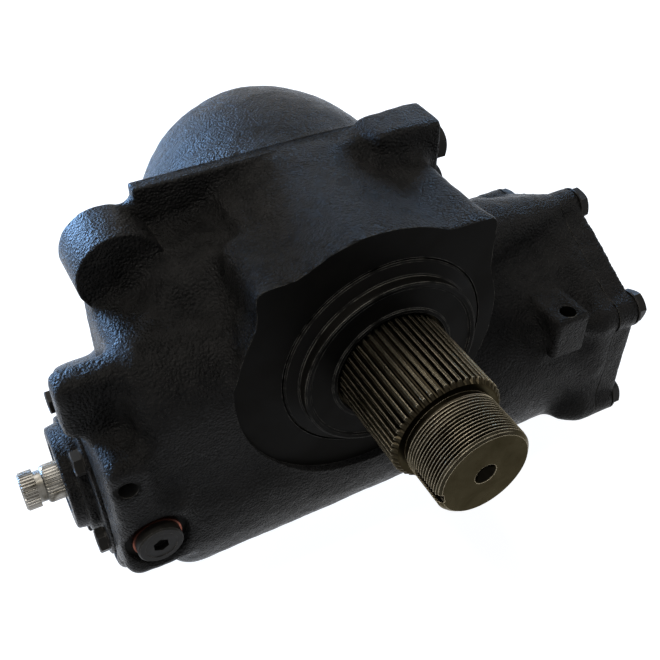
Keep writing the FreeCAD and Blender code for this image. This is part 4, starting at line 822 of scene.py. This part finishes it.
# %% [markdown]
# Sand shifts and swells under hot iron, so no cast face is truly flat. Three sizes of noise move
# the skin by a few tenths of a millimetre.

# %% Sand-cast unevenness
def uneven(obj, sizes):
    """Moves each point along its normal by smooth noise: pairs of wave length and depth in mm."""
    mesh = obj.data
    for vertex, normal in zip(mesh.vertices, mesh.vertex_normals):
        move = sum(noise.noise(vertex.co / (length * MM)) * depth for length, depth in sizes)
        vertex.co += normal.vector * move * MM
    mesh.update()
    return obj


uneven(casting, [(34, 0.7), (11, 0.30), (5, 0.22)])

# %% [markdown]
# The real casting goes to the mill and the drill last, and so does this one. Each tool is a plain
# solid, and cutting it out leaves flat faces and sharp rims in the soft skin.

# %% Machining the casting
mills = [
    bar(79, 4, FRONT, "Y", DRUM), brick((-73, 2, -4), (66, FRONT, 69.5)),
    brick((COVER_JOINT, -5, -172), (176, 172, 12)), bar(54, -176, INPUT_FACE, "X", PISTON),
    bar(27, MOUNT, 122, "Y", LEFT_BOSS),
    slab([(-100, 84), (-100, 42), *arc(82.5, 150, 112), (-31, 84)], MOUNT, 118),
    brick((PORT_FACE, 78, 14), (84, 114, 92)), bar(17.5, -10, PLUG_FACE, "Y", RELIEF_PLUG),
]
BORES = [
    (52.4, -108, 170, "X", PISTON), (24, -112, -104, "X", PISTON),
    (34, -157, -111, "X", PISTON), (57, 7.5, 116, "Y", (0, 0)),
    (60, 12.5, 18.5, "Y", (0, 0)), (35.5, 115, 151, "Y", (0, 0)),
    (8.02, 116, 210, "Y", (0, 0)), (9, 13, 42, "Y", RELIEF_PLUG),
    (5.1, -39, -15, "Z", BRACKET_THREAD), (6.5, 7.5, 16.5, "Y", DRILLED_PIT, 0.5),
    (7, 86, 112, "Y", LEFT_BOSS), (7, 103.4, 112, "Y", LUG_THREAD),
]
BORES += [(8, 50, 76, "X", place) for place in PORTS]
BORES += [(6.02, 145, 168, "X", place, None, 32) for place in END_BOLTS]
BORES += [(4.02, -157, -134, "X", place, None, 24) for place in INPUT_BOLTS]
rough_faces = len(casting.data.polygons)
carved(casting, mills + [bar(*bore) for bore in BORES])
casting.data.validate()
print("machined casting:", rough_faces, "faces before,", len(casting.data.polygons), "after")

# %% [markdown]
# The cuts get the machined finish. A tool leaves no iron inside itself, so any face whose middle
# lies inside one of the tools, grown by a hair, must be a face that the tool cut.

# %% Finish of the cut faces
ON_PLANE, SQUARE_ON = 0.01, 0.999


def inside_bar(points, tool, hair=0.05):
    """Which points lie inside a bar that is grown by a hair, by the values it was made from."""
    radius, start, end, axis, centre = tool[:5]
    along = points[:, AXIS[axis]]
    across = np.delete(points, AXIS[axis], 1) - np.array(centre)
    near = np.hypot(across[:, 0], across[:, 1]) < radius + hair
    return near & (along > min(start, end) - hair) & (along < max(start, end) + hair)


def mark_machined(obj, tools, planes):
    """Gives the second finish to the faces inside the bars, and to those on milled planes."""
    mesh = obj.data
    count = len(mesh.polygons)
    centre, normal = np.empty(count * 3), np.empty(count * 3)
    mesh.polygons.foreach_get("center", centre)
    mesh.polygons.foreach_get("normal", normal)
    centre, normal = centre.reshape(-1, 3) / MM, normal.reshape(-1, 3)
    cut = np.zeros(count, bool)
    for axis, place in planes:
        flat = np.abs(centre[:, AXIS[axis]] - place) < ON_PLANE
        cut |= flat & (np.abs(normal[:, AXIS[axis]]) > SQUARE_ON)
    for tool in tools:
        cut |= inside_bar(centre, tool)
    mesh.polygons.foreach_set("material_index", cut.astype(np.int32))
    mesh.polygons.foreach_set("use_smooth", ~cut)
    mesh.update()
    return int(cut.sum())


wear_finish(casting, painted_cast, painted_machined)
marked = mark_machined(casting, BORES, [
    ("Y", FRONT), ("X", COVER_JOINT), ("X", INPUT_FACE), ("X", PORT_FACE), ("Y", MOUNT),
    ("Y", PLUG_FACE)])
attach(casting, "gear_housing")
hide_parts("housing")
print("machined faces:", marked)

# %% [markdown]
# ## Ribbed bars
# The serrations and the nut thread follow one rule: the radius rises and falls with the turn
# about the axis, and for a thread also with the way along it. That is work for Geometry Nodes.
# The tree rolls a flat grid up into a bar, with its first and last rows drawn in to the axis, so
# the bar is a closed solid that can be joined to the rest of the shaft.

# %% Geometry Nodes helpers
def growing(name, material, inputs):
    """A tree that makes a mesh. Its last inputs are the mesh's turn, place and finish."""
    inputs += [("Turn", (0.0, 0.0, 0.0)), ("Place", (0.0, 0.0, 0.0)), ("Finish", material)]
    return group(name, inputs, ["Geometry"], "GeometryNodeTree", "NodeSocketGeometry")


def grown(name, tree, **values):
    """A plain mesh object that a tree makes from these values."""
    obj = bpy.data.objects.new(name, bpy.data.meshes.new(name))
    collection.objects.link(obj)
    modifier = obj.modifiers.new("tree", "NODES")
    modifier.node_group = tree
    sockets = {item.name: item.identifier for item in tree.interface.items_tree
               if item.in_out == "INPUT"}
    for label, value in values.items():
        modifier[sockets[label.replace("_", " ")]] = value
    settled(obj)
    shape = bmesh.new()
    shape.from_mesh(obj.data)
    bmesh.ops.recalc_face_normals(shape, faces=shape.faces)
    shape.to_mesh(obj.data)
    shape.free()
    return obj


def grid_to_roll(tree, columns, rows):
    """A flat grid, with the turn in radians of each of its points and the row it is in."""
    grid = node(tree, "GeometryNodeMeshGrid", Size_X=1.0, Size_Y=1.0,
                Vertices_X=maths(tree, "ADD", columns, 1.0),
                Vertices_Y=maths(tree, "ADD", rows, 1.0))
    flat = node(tree, "ShaderNodeSeparateXYZ",
                [(0, node(tree, "GeometryNodeInputPosition").outputs[0])])
    turn = maths(tree, "MULTIPLY_ADD", flat.outputs["X"], math.tau, math.pi)
    share = maths(tree, "ADD", flat.outputs["Y"], 0.5)
    return grid.outputs["Mesh"], turn, maths(tree, "ROUND", maths(tree, "MULTIPLY", share, rows))


def rolled_up(tree, mesh, turn, radius, height):
    """Rolls the grid about Z and merges its seam and its two ends."""
    place = node(tree, "ShaderNodeCombineXYZ",
                 X=maths(tree, "MULTIPLY", maths(tree, "COSINE", turn), radius),
                 Y=maths(tree, "MULTIPLY", maths(tree, "SINE", turn), radius), Z=height)
    moved = node(tree, "GeometryNodeSetPosition", Geometry=mesh, Position=place.outputs[0])
    return node(tree, "GeometryNodeMergeByDistance", Geometry=moved.outputs[0],
                Distance=2e-6).outputs[0]


def finished(tree, geometry, size, out):
    """Turns and places the result, and ends the tree as the export needs it."""
    placed = node(tree, "GeometryNodeTransform", Geometry=geometry,
                  Translation=size["Place"], Rotation=size["Turn"])
    plain = node(tree, "GeometryNodeRealizeInstances", Geometry=placed.outputs[0])
    coated = node(tree, "GeometryNodeSetMaterial", Geometry=plain.outputs[0],
                  Material=size["Finish"])
    feed(tree, out[0], coated.outputs[0])


# %% Tree of a ribbed bar
ribbed_bar, size, out = growing("ribbed_bar", worn_steel, [
    ("Radius", 0.0315), ("Groove depth", 0.0021), ("Length", 0.05), ("Grooves", 48),
    ("Turns per metre", 0.0), ("Groove floor", 0.2), ("Groove mouth", 0.6), ("Chamfer", 0.0024),
    ("Columns", 480), ("Rows", 22)])
SEAM_HAIR = 1e-5
reckon = functools.partial(maths, ribbed_bar)
mesh, turn, row = grid_to_roll(ribbed_bar, size["Columns"], size["Rows"])
last = reckon("SUBTRACT", size["Rows"], 1.0)
height = spread(ribbed_bar, row, 1.0, last, 0.0, size["Length"])
phase = reckon("MULTIPLY_ADD", height, size["Turns per metre"],
               reckon("MULTIPLY", turn, reckon("DIVIDE", size["Grooves"], math.tau)))
part_turn = reckon("FRACT", reckon("ADD", phase, SEAM_HAIR))
from_middle = reckon("ABSOLUTE", reckon("SUBTRACT", part_turn, 0.5))
groove = spread(ribbed_bar, reckon("MULTIPLY", from_middle, 2.0),
                size["Groove floor"], size["Groove mouth"], size["Groove depth"], 0.0)
radius = reckon("SUBTRACT", size["Radius"], groove)
chamfer = reckon("ADD", reckon("SUBTRACT", size["Radius"], size["Chamfer"]),
                 reckon("SUBTRACT", size["Length"], height))
radius = reckon("MINIMUM", radius, chamfer)
for low, high in ((0.5, row), (row, reckon("SUBTRACT", size["Rows"], 0.5))):
    radius = reckon("MULTIPLY", radius, reckon("LESS_THAN", low, high))
finished(ribbed_bar, rolled_up(ribbed_bar, mesh, turn, radius, height), size, out)

# %% [markdown]
# The output shaft is forged and turned in one piece. Its inner part, with the sector teeth, is
# the CAD mesh. The part that shows gets 48 true serrations, a relief groove, and a fine nut thread
# of fourteen turns to the inch, with the milled slot that takes the nut's staked lip.

# %% Output shaft
TO_FRONT = (math.pi / 2, 0.0, 0.0)
SERRATION_START = 6.4
SERRATION_END = -48.3
SERRATION_ROWS = 25
THREAD_START = -51.3
SHAFT_TIP = -78.4
THREAD_PITCH = 25.4 / 14
SLOT_ANGLE = 168
SLOT_HALF = 3
NECK_RADIUS = 25.1
shaft = carved(copy_of("sector_shaft", "sector_shaft_dressed"),
               [bar(60, -90, 6.0, "Y", (0, 0))])
serration_length = SERRATION_START - SERRATION_END
row_length = serration_length / (SERRATION_ROWS - 2)
serrations = grown("serrations", ribbed_bar, Length=serration_length * MM, Groove_floor=0.24,
                   Groove_mouth=0.64, Rows=SERRATION_ROWS, Chamfer=row_length * MM,
                   Place=(0.0, SERRATION_START * MM, 0.0), Turn=TO_FRONT)
thread = grown("thread", ribbed_bar, Radius=26 * MM, Groove_depth=1.15 * MM, Grooves=1,
               Length=(THREAD_START - SHAFT_TIP) * MM, Turns_per_metre=1 / (THREAD_PITCH * MM),
               Groove_floor=0.06, Groove_mouth=0.86, Chamfer=2.2 * MM, Columns=120, Rows=182,
               Place=(0.0, THREAD_START * MM, 0.0), Turn=TO_FRONT)
carved(shaft, [serrations, bar(NECK_RADIUS, -60, -20, "Y", (0, 0)), thread], "UNION")
lock_slot = eased(brick((22.8, SHAFT_TIP - 1, -SLOT_HALF), (30, SHAFT_TIP + 20, SLOT_HALF)),
                  0.3, 1)
lock_slot.data.transform(Matrix.Rotation(math.radians(SLOT_ANGLE), 4, "Y"))
carved(shaft, [lock_slot, bar(3.0, SHAFT_TIP - 1, SHAFT_TIP + 12, "Y", (0, 0), sides=48),
               bar(6.3, SHAFT_TIP - 0.3, SHAFT_TIP + 5.2, "Y", (0, 0), 2.4, 48)])
wear_finish(shaft, worn_steel)
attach(shaft, "output_shaft")
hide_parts("sector_shaft")
print("output shaft:", len(shaft.data.polygons), "faces")

# %% [markdown]
# The input shaft has finer serrations in two lengths, with a plain neck between them for the
# coupling's clamp bolt. The same tree makes both, because only its values differ.

# %% Input shaft
TO_LEFT = (0.0, -math.pi / 2, 0.0)
INPUT_END = -192.5
input_shaft = carved(copy_of("input_shaft", "input_shaft_dressed"),
                     [bar(20, -200, -170, "X", PISTON)])
INPUT_RIBS = {"Radius": 11.2 * MM, "Grooves": 36, "Groove_floor": 0.15, "Groove_mouth": 0.6,
              "Chamfer": 1.2 * MM, "Columns": 360, "Rows": 16, "Turn": TO_LEFT,
              "Finish": bright_steel}
tip = grown("input_tip", ribbed_bar, Groove_depth=0.7 * MM, Length=8.5 * MM,
            Place=point_by("X", -184, PISTON), **INPUT_RIBS)
rear = grown("input_rear", ribbed_bar, Groove_depth=0.5 * MM, Length=12 * MM,
             Place=point_by("X", -168, PISTON), **INPUT_RIBS)
carved(input_shaft, [rear, bar(9.2, -186, -168, "X", PISTON), tip], "UNION")
carved(input_shaft, [bar(3.2, INPUT_END - 1, INPUT_END + 3, "X", PISTON, 1.5, 48)])
wear_finish(input_shaft, bright_steel)
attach(input_shaft, "steering_input")
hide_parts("input_shaft")
print("input shaft:", len(input_shaft.data.polygons), "faces")

# %% [markdown]
# ## Bolts
# Every cover bolt is the same forging: a hexagon whose corners are turned away at the top, on a
# flange. One tree rolls the head up from a table of rows and sets it round a circle. Each bolt
# stops at a turn of its own, because nobody lines their heads up.

# %% Tree of a circle of bolts
bolt_circle, size, out = growing("bolt_circle", black_bolt, [
    ("Count", 6), ("Circle", 0.076), ("First angle", 0.0), ("Flats", 0.019), ("Head", 0.008),
    ("Flange", 0.012), ("Shank", 0.006), ("Shank length", 0.034), ("Seed", 4)])
BOLT_COLUMNS, BOLT_ROWS = 48, 11
mesh, turn, row = grid_to_roll(bolt_circle, BOLT_COLUMNS, BOLT_ROWS)
RIM, DISH, SHANK_CHAMFER = 0.0011, 0.0005, 0.0008
reckon = functools.partial(maths, bolt_circle)
across = reckon("WRAP", turn, math.pi / 6, -math.pi / 6)
half = reckon("MULTIPLY", size["Flats"], 0.5)
hexagon = reckon("DIVIDE", half, reckon("COSINE", across))
top = reckon("MULTIPLY", size["Flats"], 0.475)
dish = reckon("MULTIPLY", size["Flats"], 0.36)
collar = reckon("MULTIPLY", reckon("SUBTRACT", size["Flange"], hexagon), 0.5)
collar = reckon("ADD", reckon("MAXIMUM", 0.0, collar), RIM)
corner = reckon("MULTIPLY_ADD", reckon("SUBTRACT", hexagon, top),
                -math.tan(math.radians(30)), size["Head"])
shank_end = reckon("MULTIPLY", size["Shank length"], -1.0)
shank_low = reckon("ADD", shank_end, SHANK_CHAMFER)
small = reckon("SUBTRACT", size["Shank"], SHANK_CHAMFER)
sunk = reckon("SUBTRACT", size["Head"], DISH)
HEAD_ROWS = [
    (0.0, shank_end), (small, shank_end), (size["Shank"], shank_low), (size["Shank"], 0.0),
    (size["Flange"], 0.0), (size["Flange"], RIM), (hexagon, collar), (hexagon, corner),
    (top, size["Head"]), (dish, size["Head"]),
    (reckon("SUBTRACT", dish, DISH), sunk), (0.0, sunk)]


def picked(tree, row, values):
    """The value of each row, from a table."""
    choice = tree.nodes.new("GeometryNodeIndexSwitch")
    choice.data_type = "FLOAT"
    while len(choice.index_switch_items) < len(values):
        choice.index_switch_items.new()
    tree.links.new(row, choice.inputs[0])
    for socket, value in zip(choice.inputs[1:], values):
        feed(tree, socket, value)
    return choice.outputs[0]


head = rolled_up(bolt_circle, mesh, turn,
                 picked(bolt_circle, row, [radius for radius, _ in HEAD_ROWS]),
                 picked(bolt_circle, row, [height for _, height in HEAD_ROWS]))
number = node(bolt_circle, "GeometryNodeInputIndex").outputs[0]
angle = reckon("MULTIPLY_ADD", number, reckon("DIVIDE", math.tau, size["Count"]),
               size["First angle"])
spot = node(bolt_circle, "ShaderNodeCombineXYZ",
            X=reckon("MULTIPLY", reckon("COSINE", angle), size["Circle"]),
            Y=reckon("MULTIPLY", reckon("SINE", angle), size["Circle"]))
spots = node(bolt_circle, "GeometryNodePoints", Count=size["Count"], Position=spot.outputs[0])
stop = node(bolt_circle, "FunctionNodeRandomValue",
            [(2, 0.0), (3, math.pi / 3), (7, number), (8, size["Seed"])], data_type="FLOAT")
facing_turn = node(bolt_circle, "ShaderNodeCombineXYZ", Z=stop.outputs[1])
bolts = node(bolt_circle, "GeometryNodeInstanceOnPoints", Points=spots.outputs[0],
             Instance=head, Rotation=facing_turn.outputs[0])
finished(bolt_circle, bolts.outputs[0], size, out)

# %% [markdown]
# The six bolts of the end cover, the five of the input cover and the two plugs of the hose ports
# are that one tree with three sets of values.

# %% Bolts and port plugs
TO_RIGHT = (0.0, math.pi / 2, 0.0)


def box_of(obj):
    points = np.array([v.co for v in obj.data.vertices]) / MM
    return points.min(0).round(1).tolist(), points.max(0).round(1).tolist()


def dressed_bolts(name, stands_for, body="gear_housing", slot="bolt_black", **values):
    obj = grown(name, bolt_circle, **values)
    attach(obj, body)
    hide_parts(stands_for)
    print(name, box_of(obj), "for", box_of(nodes[stands_for]))


dressed_bolts("end_bolts_dressed", "end_cover_bolts", Turn=TO_RIGHT,
              Place=point_by("X", 182, PISTON))
dressed_bolts("input_bolts_dressed", "input_cover_bolts", Count=5, Circle=INPUT_CIRCLE * MM,
              First_angle=math.pi, Flats=13 * MM, Head=6 * MM, Flange=6.4 * MM, Shank=4 * MM,
              Shank_length=22 * MM, Seed=9, Turn=TO_LEFT, Place=point_by("X", -158, PISTON))
dressed_bolts("port_plugs_dressed", "port_plugs", Count=2, Circle=PORT_CIRCLE * MM,
              Flange=11.5 * MM, Shank=7.9 * MM, Shank_length=18 * MM, Seed=2, Turn=TO_RIGHT,
              Place=point_by("X", 76, PORT_PAIR))

# %% [markdown]
# ## End cover
# The end cover is a second casting. It meets the gear's end flange in a milled joint, so its
# rough skin is made too thick and then cut flat there.

# %% End cover
JOINT_GAP = 0.6
COVER_FACE = COVER_JOINT + JOINT_GAP
cover = stretched(copy_of("end_cover", "end_cover_dressed"), "X", COVER_JOINT + 0.01, -STRETCH)
carved(cover, [bar(62, 140, 159.9, "X", PISTON)])
skinned(cover, 1.3)
softened(cover, 0.5, 3)
uneven(cover, [(30, 0.5), (9, 0.3), (4, 0.12)])
carved(cover, [brick((140, -20, -190), (COVER_FACE, 190, 30))]
       + [bar(6.3, 150, 190, "X", place, None, 32) for place in END_BOLTS])
spigot = turned("spigot", [(0, 157), (51.3, 157), (52.37, 158), (52.37, 160), (49.4, 160),
                           (49.4, 163.5), (52.37, 163.5), (52.37, 166.02), (62, 166.02),
                           (62, 167), (0, 167)], "X", PISTON)
carved(cover, [spigot], "UNION")
wear_finish(cover, painted_cast, painted_machined)
mark_machined(cover, [(6.3, 150, 190, "X", place) for place in END_BOLTS], [("X", COVER_FACE)])
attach(cover, "gear_housing")
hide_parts("end_cover")
print("end cover:", len(cover.data.polygons), "faces")

# %% [markdown]
# ## Turned covers
# The input cover, the dust cover and the relief valve plug are lathe work. Their profiles are the
# CAD ones with what a real part adds: small rounds at each corner, a folded rim, a witness groove.

# %% Input cover
input_cover = turned("input_cover_dressed", [
    (21, -170.5), (28.6, -170.5), (29.6, -170.2), (30.3, -169.4), (30.5, -168.4), (31.2, -164.4),
    (31.9, -163.7), (33.6, -163.5), (34.3, -162.9), (34.6, -162), (35.2, -158.6), (36, -158),
    (49.8, -158), (50.7, -157.5), (51, -156.6), (51, -152.1), (34, -152.1), (33.98, -149),
    (31.4, -149), (31.4, -145.6), (33.98, -145.6), (33.98, -143), (18.64, -143), (18.64, -151),
    (14.4, -151), (14.4, -155), (21, -155)], "X", PISTON)
carved(input_cover, [bar(4.3, -165, -140, "X", place, None, 24) for place in INPUT_BOLTS])
wear_finish(input_cover, painted_cast)
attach(input_cover, "gear_housing")
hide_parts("input_cover")

# %% Dust cover
dust_cover = turned("dust_cover_dressed", [
    (32.7, 4.6), (33.4, 3.95), (35.2, 3.95), (35.9, 4.7), (47.6, 5.0), (48.6, 4.2), (50.6, 3.95),
    (51.5, 4.4), (51.7, 5.3), (51.7, 9.6), (52.4, 10.4), (58.2, 12.6), (59, 13.5), (59, 15.9),
    (32.7, 15.9)], "Y", (0, 0), 160)
wear_finish(dust_cover, painted_machined)
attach(dust_cover, "gear_housing")
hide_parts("dust_cover")

# %% Relief valve plug
relief_plug = turned("relief_plug_dressed", [
    (0, 6.4), (8.6, 6.4), (9, 6), (11.7, 6), (12.5, 6.8), (12.5, 12), (8.95, 12), (8.95, 25.4),
    (8.3, 26), (0, 26)], "Y", RELIEF_PLUG, 96)
carved(relief_plug, [bar(8 / math.sqrt(3), 3, 10, "Y", RELIEF_PLUG, sides=6)])
wear_finish(relief_plug, black_bolt)
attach(relief_plug, "gear_housing")
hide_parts("relief_valve_plug")
print("turned covers:", [len(o.data.polygons) for o in (input_cover, dust_cover, relief_plug)])
